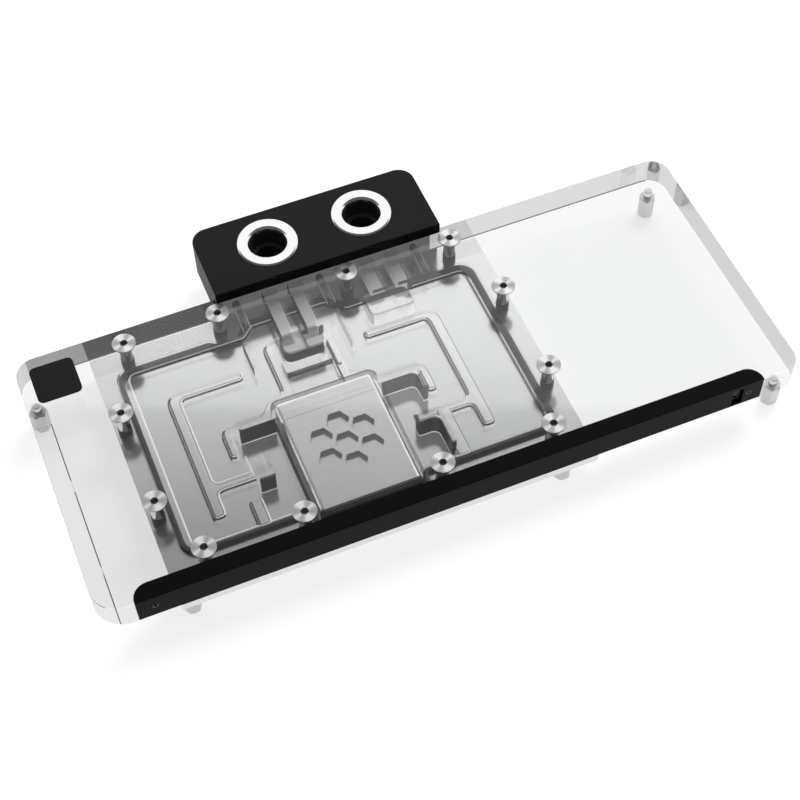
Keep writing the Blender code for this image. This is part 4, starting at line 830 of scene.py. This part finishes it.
def cover_look(face):
    """Which of the cover's looks a face takes, by the way it faces and where it is; most of them place
    painted shade and painted highlights.
    """
    flat, wall, milled_floor, clear, deep, deep_dark, dark, soft, bright, line, shade, rear, outlet = \
        range(len(COVER_LOOKS))
    x = (face.center.x - COVER_LOW.x) / MM
    y = (COVER_HIGH.y - face.center.y) / MM
    rise = (face.center.z - COVER_LOW.z) / MM
    level = abs(face.normal.z)
    if level > 0.995:
        if face.normal.z > 0.0 and abs(rise - COVER_THICK - TUNNEL_FLOOR) < 0.01:
            return milled_floor
        inlet = 84.0 < x < 100.0 and 19.0 < y < 30.0 and rise > 7.0
        return shade if inlet and face.normal.z < 0.0 else flat
    if x < 7.0 and y > 21.5 and 0.2 < level < 0.98:
        return line if face.normal.x < -0.6 else clear
    if y < 0.5:
        return rear if level < 0.15 else (dark if rise < 1.0 else clear)
    if x < 24.0 or x > 166.0 or y > 93.5:
        return wall if level < 0.15 else clear
    if any(math.hypot(x - hole[0], y - hole[1]) < SCREW_HEAD + 0.2 for hole in screw_places()):
        return wall
    if y < 13.0 and rise > 2.6:
        if any(abs(x - middle) < 1.7 for middle in BLOCK_SCREWS):
            # Painted highlights: white streaks along the sides of the block's screw bores
            return bright if abs(face.normal.x) > 0.85 else clear
        return clear if any(abs(x - middle) < 8.0 for middle, into in TUNNELS) else wall
    turn = math.degrees(math.atan2(face.normal.y, face.normal.x))
    if rise > 2.6 and beside_core(x, y):
        return soft
    if rise > 3.1:
        if -20.0 < turn < 120.0 and not (x < 66.0 and turn < 45.0):
            if 116.0 < x < 136.0 and y < 26.0:
                return outlet
            return deep_dark if x < 75.0 or y > 63.0 or (84.0 < x < 99.0 and y < 31.0) else deep
        return clear
    if 80.5 < x < 103.0 and 17.0 < y < 45.0 and rise > SHALLOW:
        return bright if 0.15 < level and y < 40.0 and abs(turn) > 20.0 else clear
    return edge_look(x, y, turn, level, (clear, dark, soft, bright))


def edge_look(x, y, turn, level, looks):
    """Look of a wall or rounded edge of the shallow channels, by the way it faces: painted shade on some
    sides, painted highlights on others.
    """
    clear, dark, soft, bright = looks
    if x < 29.5 or x > 160.0 or y > 86.0:
        return clear
    if 58.5 < x < 60.2 and 58.0 < y < 64.0:
        return bright if level > 0.5 else clear
    if 57.5 < x < 67.0 and 46.0 < y < 71.0:
        return clear
    if 69.0 < x < 75.0 and 39.0 < y < 46.0:
        return soft if 0.7 < level < 0.95 else clear
    if -45.0 < turn < 50.0:
        if level < 0.15:
            return dark if x < FLOW_AXIS or 98.0 < x < 101.0 else soft
        return soft if 0.7 < level < 0.95 else dark
    if 50.0 <= turn < 140.0:
        if level < 0.15:
            return dark if 30.0 < y < 34.0 and 83.0 < x < 99.5 else clear
        return soft if level > 0.95 else (bright if level > 0.7 else dark)
    if turn >= 140.0 or turn < -150.0:
        if x > 103.5:
            return soft if 0.7 < level < 0.95 else clear
        return soft if level > 0.95 else (bright if level > 0.5 else clear)
    ridge = 62.5 < y < 65.0 or 81.0 < y < 84.5
    return bright if ridge and 0.7 < level < 0.95 and x < FLOW_AXIS else clear


def honeycomb(centre, flats, pitch, low, high):
    """Cutters for one cell with six round it."""
    tools = [hexagon("cell", flats, centre, low, high, math.pi / 6.0)]
    for step in range(6):
        angle = math.pi / 3.0 * step + math.pi / 6.0
        place = centre + Vector((math.cos(angle), math.sin(angle), 0.0)) * pitch * MM
        tools.append(hexagon("cell", flats, place, low, high, math.pi / 6.0))
    return tools


def core_block():
    top = (CORE_HIGH.z - COVER_HIGH.z) / MM
    bottom = (CORE_LOW.z - COVER_HIGH.z) / MM
    outline = rounded(box_corners(CORE_LEFT, CORE_RIGHT, CORE_BACK, CORE_FRONT, 1.8))
    core = flat_solid("core_block", [outline], bottom, top)
    rim_bevel(core, 1.4, 3, profile=0.55)
    centre = spot((CORE_LEFT + CORE_RIGHT) / 2.0, (CORE_BACK + CORE_FRONT) / 2.0, top)
    carve(core, *honeycomb(centre, 7.0, 8.3, -1.8, 2.0))
    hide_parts("core_cover")
    dress(core, SATIN_NICKEL, 25.0)
    # Painted shade: the rounded back and right edges, turned away from the light, take a darker copy of the
    # satin nickel
    core.data.materials.append(SATIN_SHADE)
    for face in core.data.polygons:
        edge = face.center.z > CORE_HIGH.z - 1.5 * MM and 0.1 < abs(face.normal.z) < 0.93
        if edge and (face.normal.y > 0.15 or face.normal.x > 0.3):
            face.material_index = 1


def cord_loop(name, corners, radius, height, sides=4):
    """Closed round cord along an outline."""
    curve = bpy.data.curves.new(name, 'CURVE')
    curve.dimensions = '3D'
    curve.bevel_depth = radius * MM
    curve.bevel_resolution = sides
    points = rounded(corners)
    spline = curve.splines.new('POLY')
    spline.points.add(len(points) - 1)
    for point, target in zip(spline.points, points):
        point.co = (*spot(target.x, target.y, height), 1.0)
    spline.use_cyclic_u = True
    piece = bpy.data.objects.new(name, curve)
    bpy.context.scene.collection.objects.link(piece)
    pick(piece)
    bpy.ops.object.convert(target='MESH')
    return bpy.context.view_layer.objects.active


def seal():
    ring = cord_loop("seal_ring", seal_corners(), 0.85, 0.9 - COVER_THICK)
    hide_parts("main_seal")
    dress(ring, RUBBER)


def terminal():
    left, right = (BLOCK_LOW.x - COVER_LOW.x) / MM, (BLOCK_HIGH.x - COVER_LOW.x) / MM
    depth = (BLOCK_HIGH.y - COVER_HIGH.y) / MM
    lip = (COVER_HIGH.y - BLOCK_LOW.y) / MM
    top = (BLOCK_HIGH.z - COVER_HIGH.z) / MM
    bottom = (BLOCK_LOW.z - COVER_HIGH.z) / MM
    corners = [(left, -depth, 5.8), (right, -depth, 5.8), (right, lip, 0.4), (left, lip, 0.4)]
    body = flat_solid("terminal_body", [rounded(corners)], bottom, top)
    rim_bevel(body, 0.45, 3, top=True, bottom=True)
    carve(body, block("lip_step", left - PAST, right + PAST, -0.05, lip + PAST, bottom - PAST, 0.3))
    bore = [(0.0, PAST), (10.6, PAST), (10.6, -1.5), (6.1, -1.5), (6.1, -7.0), (4.4, -7.0), (4.4, -13.8),
            (0.0, -13.8)]
    for x in PORTS:
        carve(body, turned("bore", bore, spot(x, -PORT_BACK, top), 96))
        carve(body, bar("arc", 14.0, spot(x, 3.4, top + 13.2), spot(x, 1.9, top + 13.2), 96))
    for middle in (92.75, 127.5):
        for x in (middle - 4.5, middle + 4.5):
            carve(body, bar("channel", 2.7, spot(x, -PORT_BACK, FLOW_DROP), spot(x, -1.0, FLOW_DROP)))
    for x in BLOCK_SCREWS:
        carve(body, bar("screw_way", 1.6, spot(x, -1.0, FLOW_DROP), spot(x, -depth - PAST, FLOW_DROP)))
        carve(body, bar("screw_seat", 3.05, spot(x, 3.3 - depth, FLOW_DROP),
                        spot(x, -depth - PAST, FLOW_DROP)))
    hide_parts("terminal_block")
    dress(body, ACETAL, 30.0)
    body.data.materials.append(TURNED_ACETAL_WITH_PAINTED_GLINT)
    # Painted glint: the port insides take the lighter acetal
    for face in body.data.polygons:
        inside = any((face.center - spot(x, -PORT_BACK)).xy.length < 6.4 * MM for x in PORTS)
        if inside and BLOCK_LOW.z + 0.5 * MM < face.center.z < BLOCK_HIGH.z - 1.6 * MM:
            face.material_index = 1


def port_rings():
    top = (BLOCK_HIGH.z - COVER_HIGH.z) / MM + 0.3
    profile = [(6.55, -0.55), (6.85, -0.12), (7.05, 0.0), (9.95, 0.0), (10.2, -0.06), (10.42, -0.22),
               (10.5, -0.45), (10.5, -1.5), (6.4, -1.5), (6.4, -0.75)]
    for index, x in enumerate(PORTS, start=1):
        ring = turned("ring_%d" % index, profile, spot(x, -PORT_BACK, top), 128)
        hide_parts("port_ring_%d" % index)
        dress(ring, CHROME, 40.0)


def cover_screws():
    """Countersunk screws with fine turned rings: one model, and a copy with its own mesh for each place."""
    centre = spot(*screw_places()[0])
    cover = (COVER_HIGH.z - PLATE_HIGH.z) / MM
    tip = (COVER_HIGH.z - PLATE_LOW.z) / MM - 5.5
    rims = []
    for ring in range(RING_COUNT):
        start = RING_START + RING_PITCH * ring
        rims += [(start, 0.0), (start + RING_PITCH / 2.0, -RING_DEPTH)]
    profile = [(0.0, 0.0)] + rims + [
        (SCREW_HEAD - 0.12, 0.0), (SCREW_HEAD, -0.1), (SCREW_HEAD, -SCREW_RIM),
        (SCREW_SHAFT, -SCREW_RIM - SCREW_HEAD + SCREW_SHAFT), (SCREW_SHAFT, -cover),
        (SCREW_THREAD, -cover - 0.05), (SCREW_THREAD, -tip), (SCREW_THREAD - 0.3, -tip - 0.3),
        (0.0, -tip - 0.3)]
    model = turned("screw", profile, centre, 64)
    carve(model, hexagon("socket", SCREW_SOCKET, centre, -1.3, 1.0))
    rings = model.data.uv_layers.new(name="rings")
    for loop in model.data.loops:
        place = (model.data.vertices[loop.vertex_index].co - centre) / MM
        rings.data[loop.index].uv = (0.5 + place.x / 10.0, 0.5 + place.y / 10.0)
    model.data.materials.append(TURNED_STEEL_WITH_PAINTED_FANS)
    model.data.materials.append(STEEL_WITH_PAINTED_SHADE)
    # Painted shade: the shank and the inside of the socket take the near-black steel
    for face in model.data.polygons:
        inside = math.hypot(face.center.x - centre.x, face.center.y - centre.y) < 1.45 * MM
        low = face.center.z < COVER_HIGH.z - 0.2 * MM
        shank = face.center.z < COVER_HIGH.z - 2.2 * MM
        face.material_index = 1 if shank or (inside and low) else 0
    for index, (x, y) in enumerate(screw_places(), start=1):
        piece = model.copy()
        piece.data = model.data.copy()
        piece.name = "screw_%d" % index
        bpy.context.scene.collection.objects.link(piece)
        piece.data.transform(Matrix.Translation(spot(x, y) - centre))
        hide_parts("cover_screw_%d" % index)
        dress(piece, None, 32.0)
    bpy.data.objects.remove(model)


def strip_cover():
    strip = flat_solid("strip", [rounded(strip_corners())], -COVER_THICK, 0.0)
    rim_bevel(strip, 0.25, 2, top=True, bottom=True)
    middle = -COVER_THICK / 2.0
    front = COVER_DEPTH + PAST
    carve(strip, block("lamp_channel", STRIP_LEFT + 10.0, STRIP_RIGHT - 20.0, 92.0, 97.2, middle - 3.25,
                       middle + 3.25))
    carve(strip, block("notch", NOTCH - 1.9, NOTCH + 1.9, COVER_DEPTH - 3.3, front, -9.3, -2.0))
    for x in (STRIP_LEFT + 5.85, STRIP_RIGHT - 4.9):
        carve(strip, bar("way", 1.0, spot(x, front, middle), spot(x, 92.0, middle)))
        carve(strip, bar("seat", 1.3, spot(x, front, middle), spot(x, COVER_DEPTH - 1.1, middle)))
    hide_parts("light_strip_cover")
    dress(strip, BLACK_ALUMINIUM, 30.0)


def light_socket():
    """Small connector set back in the strip cover's front, with two contact slots."""
    body = block("socket_body", NOTCH - 1.7, NOTCH + 1.7, COVER_DEPTH - 2.9, COVER_DEPTH - 1.4, -9.1, -2.2)
    for height in (-7.2, -4.0):
        carve(body, block("contact", NOTCH - 0.6, NOTCH + 0.6, COVER_DEPTH - 2.4, COVER_DEPTH, height - 0.5,
                          height + 0.5))
    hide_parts("light_socket")
    dress(body, SOCKET_PLASTIC)


def badge():
    bottom, top = ((corner[2] - COVER_HIGH.z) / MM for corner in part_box("badge"))
    plate = flat_solid("badge_plate", [rounded(box_corners(4.3, 19.0, 4.6, 19.3, 2.0))], bottom, top)
    rim_bevel(plate, 0.15, 2)
    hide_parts("badge")
    dress(plate, BADGE_BLACK)


def standoffs():
    """Hexagon standoffs with turned ends and a threaded stud."""
    for node in sorted(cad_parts):
        if "standoff" not in node:
            continue
        low, high = (Vector(corner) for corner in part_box(node))
        centre = Vector(((low.x + high.x) / 2.0, (low.y + high.y) / 2.0, 0.0))
        stud = STUD_LONG if node.startswith("cover") else STUD_SHORT
        height = high.z / MM - stud
        body = hexagon(node + "_body", 5.3, centre, 0.0, height, math.pi / 6.0)
        chamfer = turned("chamfer", [(0.0, height), (2.6, height), (3.2, height - 0.4), (3.2, 0.4),
                                     (2.6, 0.0), (0.0, 0.0)], centre, 48)
        combine(body, 'INTERSECT', [chamfer])
        thread = [(0.0, height + stud), (0.95, height + stud)]
        for step in range(int(stud / THREAD_PITCH)):
            start = height + stud - 0.15 - THREAD_PITCH * step
            thread += [(1.25, start - 0.1), (1.02, start - 0.32)]
        thread += [(1.02, height - 1.0), (0.0, height - 1.0)]
        unite(body, turned("stud", thread, centre, 24))
        carve(body, turned("bore", [(0.0, 3.6), (1.1, 3.6), (1.1, 0.3), (1.4, -0.1), (1.4, -1.0),
                                    (0.0, -1.0)], centre, 24))
        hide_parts(node)
        dress(body, PLATED_STEEL, 25.0)


def dress_cad():
    """Materials for the nodes that keep their own shape."""
    looks = {"base_plate": BRIGHT_NICKEL, "jet_insert": PLATED_STEEL, "light_strip": LAMP_BOARD,
             "terminal_seal_": RUBBER, "terminal_screw_": PLATED_STEEL, "strip_screw_": STEEL_WITH_PAINTED_SHADE}
    for node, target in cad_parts.items():
        look = looks.get(node.rstrip("0123456789"))
        if look:
            target.data.materials.clear()
            target.data.materials.append(look)


def floor():
    deselect()
    bpy.ops.mesh.primitive_plane_add(size=6.0, location=(0.0, 0.0, -0.0002))
    ground = bpy.context.object
    ground.name = "floor"
    look = Look("pale_floor")
    path = look.node("ShaderNodeLightPath")
    seen = look.value(path, "Is Camera Ray") + look.value(path, "Is Glossy Ray") \
        + look.value(path, "Is Transmission Ray")
    paint = look.node("ShaderNodeBsdfDiffuse", None, {"Color": (FLOOR_PAINT,) * 3}).outputs[0]
    glow = look.node("ShaderNodeEmission", None, {"Color": even(1.0), "Strength": FLOOR_GLOW}).outputs[0]
    both = look.node("ShaderNodeAddShader", None, {0: paint, 1: glow}).outputs[0]
    ground.data.materials.append(look.finish(look.node("ShaderNodeMixShader", None,
                                                       {0: seen, 1: paint, 2: both}).outputs[0]))


def studio_world():
    """White to the camera; to metal and clear plastic, a white wall behind and a dim room above."""
    world = bpy.data.worlds.new("studio")
    world.use_nodes = True
    bpy.context.scene.world = world
    look = Look("studio", world.node_tree)
    ray = look.node("ShaderNodeTexCoord").outputs["Generated"]
    reach = look.node("ShaderNodeVectorMath", {"operation": 'DOT_PRODUCT'}, {0: ray, 1: HORIZON_NORMAL})
    height = Value(look, reach.outputs["Value"])
    wall = 1.0 - height.smooth(-0.004, 0.004)
    room = 0.56 - 0.31 * height.smooth(0.0, 0.14) - 0.11 * height.smooth(0.1, 0.7)
    strength = room + (WALL_LIGHT - room) * wall
    camera = look.value(look.node("ShaderNodeLightPath"), "Is Camera Ray")
    studio = look.node("ShaderNodeBackground", None,
                       {"Color": look.grey(strength), "Strength": 1.0}).outputs[0]
    white = look.node("ShaderNodeBackground", None, {"Color": even(1.0), "Strength": 1.0}).outputs[0]
    look.finish(look.node("ShaderNodeMixShader", None, {0: camera, 1: studio, 2: white}).outputs[0])


def lamp(name, azimuth, elevation, distance, size, power, glossy=False):
    """Soft square lamp that points at the object."""
    aim = Vector((math.sin(math.radians(azimuth)) * math.cos(math.radians(elevation)),
                  math.cos(math.radians(azimuth)) * math.cos(math.radians(elevation)),
                  math.sin(math.radians(elevation))))
    deselect()
    bpy.ops.object.light_add(type='AREA', location=aim * distance,
                             rotation=aim.to_track_quat('Z', 'Y').to_euler())
    light = bpy.context.object
    light.name = name
    light.data.shape = 'SQUARE'
    light.data.size = size
    light.data.energy = power
    light.visible_glossy = glossy


def camera():
    bpy.ops.object.camera_add()
    view = bpy.context.object
    view.data.lens = CAMERA_LENS
    view.data.sensor_width = 36.0
    turn = Matrix.Rotation(math.radians(-CAMERA_AZIMUTH), 4, 'Z') \
        @ Matrix.Rotation(math.radians(90.0 - CAMERA_ELEVATION), 4, 'X') \
        @ Matrix.Rotation(math.radians(CAMERA_ROLL), 4, 'Z')
    view.matrix_world = Matrix.Translation(CAMERA_PLACE) @ turn
    bpy.context.scene.camera = view


def build():
    clear_cover()
    core_block()
    seal()
    terminal()
    port_rings()
    cover_screws()
    strip_cover()
    light_socket()
    badge()
    standoffs()
    dress_cad()
    floor()
    studio_world()
    lamp("back_lamp", 55.0, 50.0, 1.2, 0.5, 8.0)
    lamp("top_lamp", 0.0, 85.0, 1.3, 0.9, 4.0)
    camera()
    bpy.context.scene.view_settings.view_transform = 'Standard'


build()
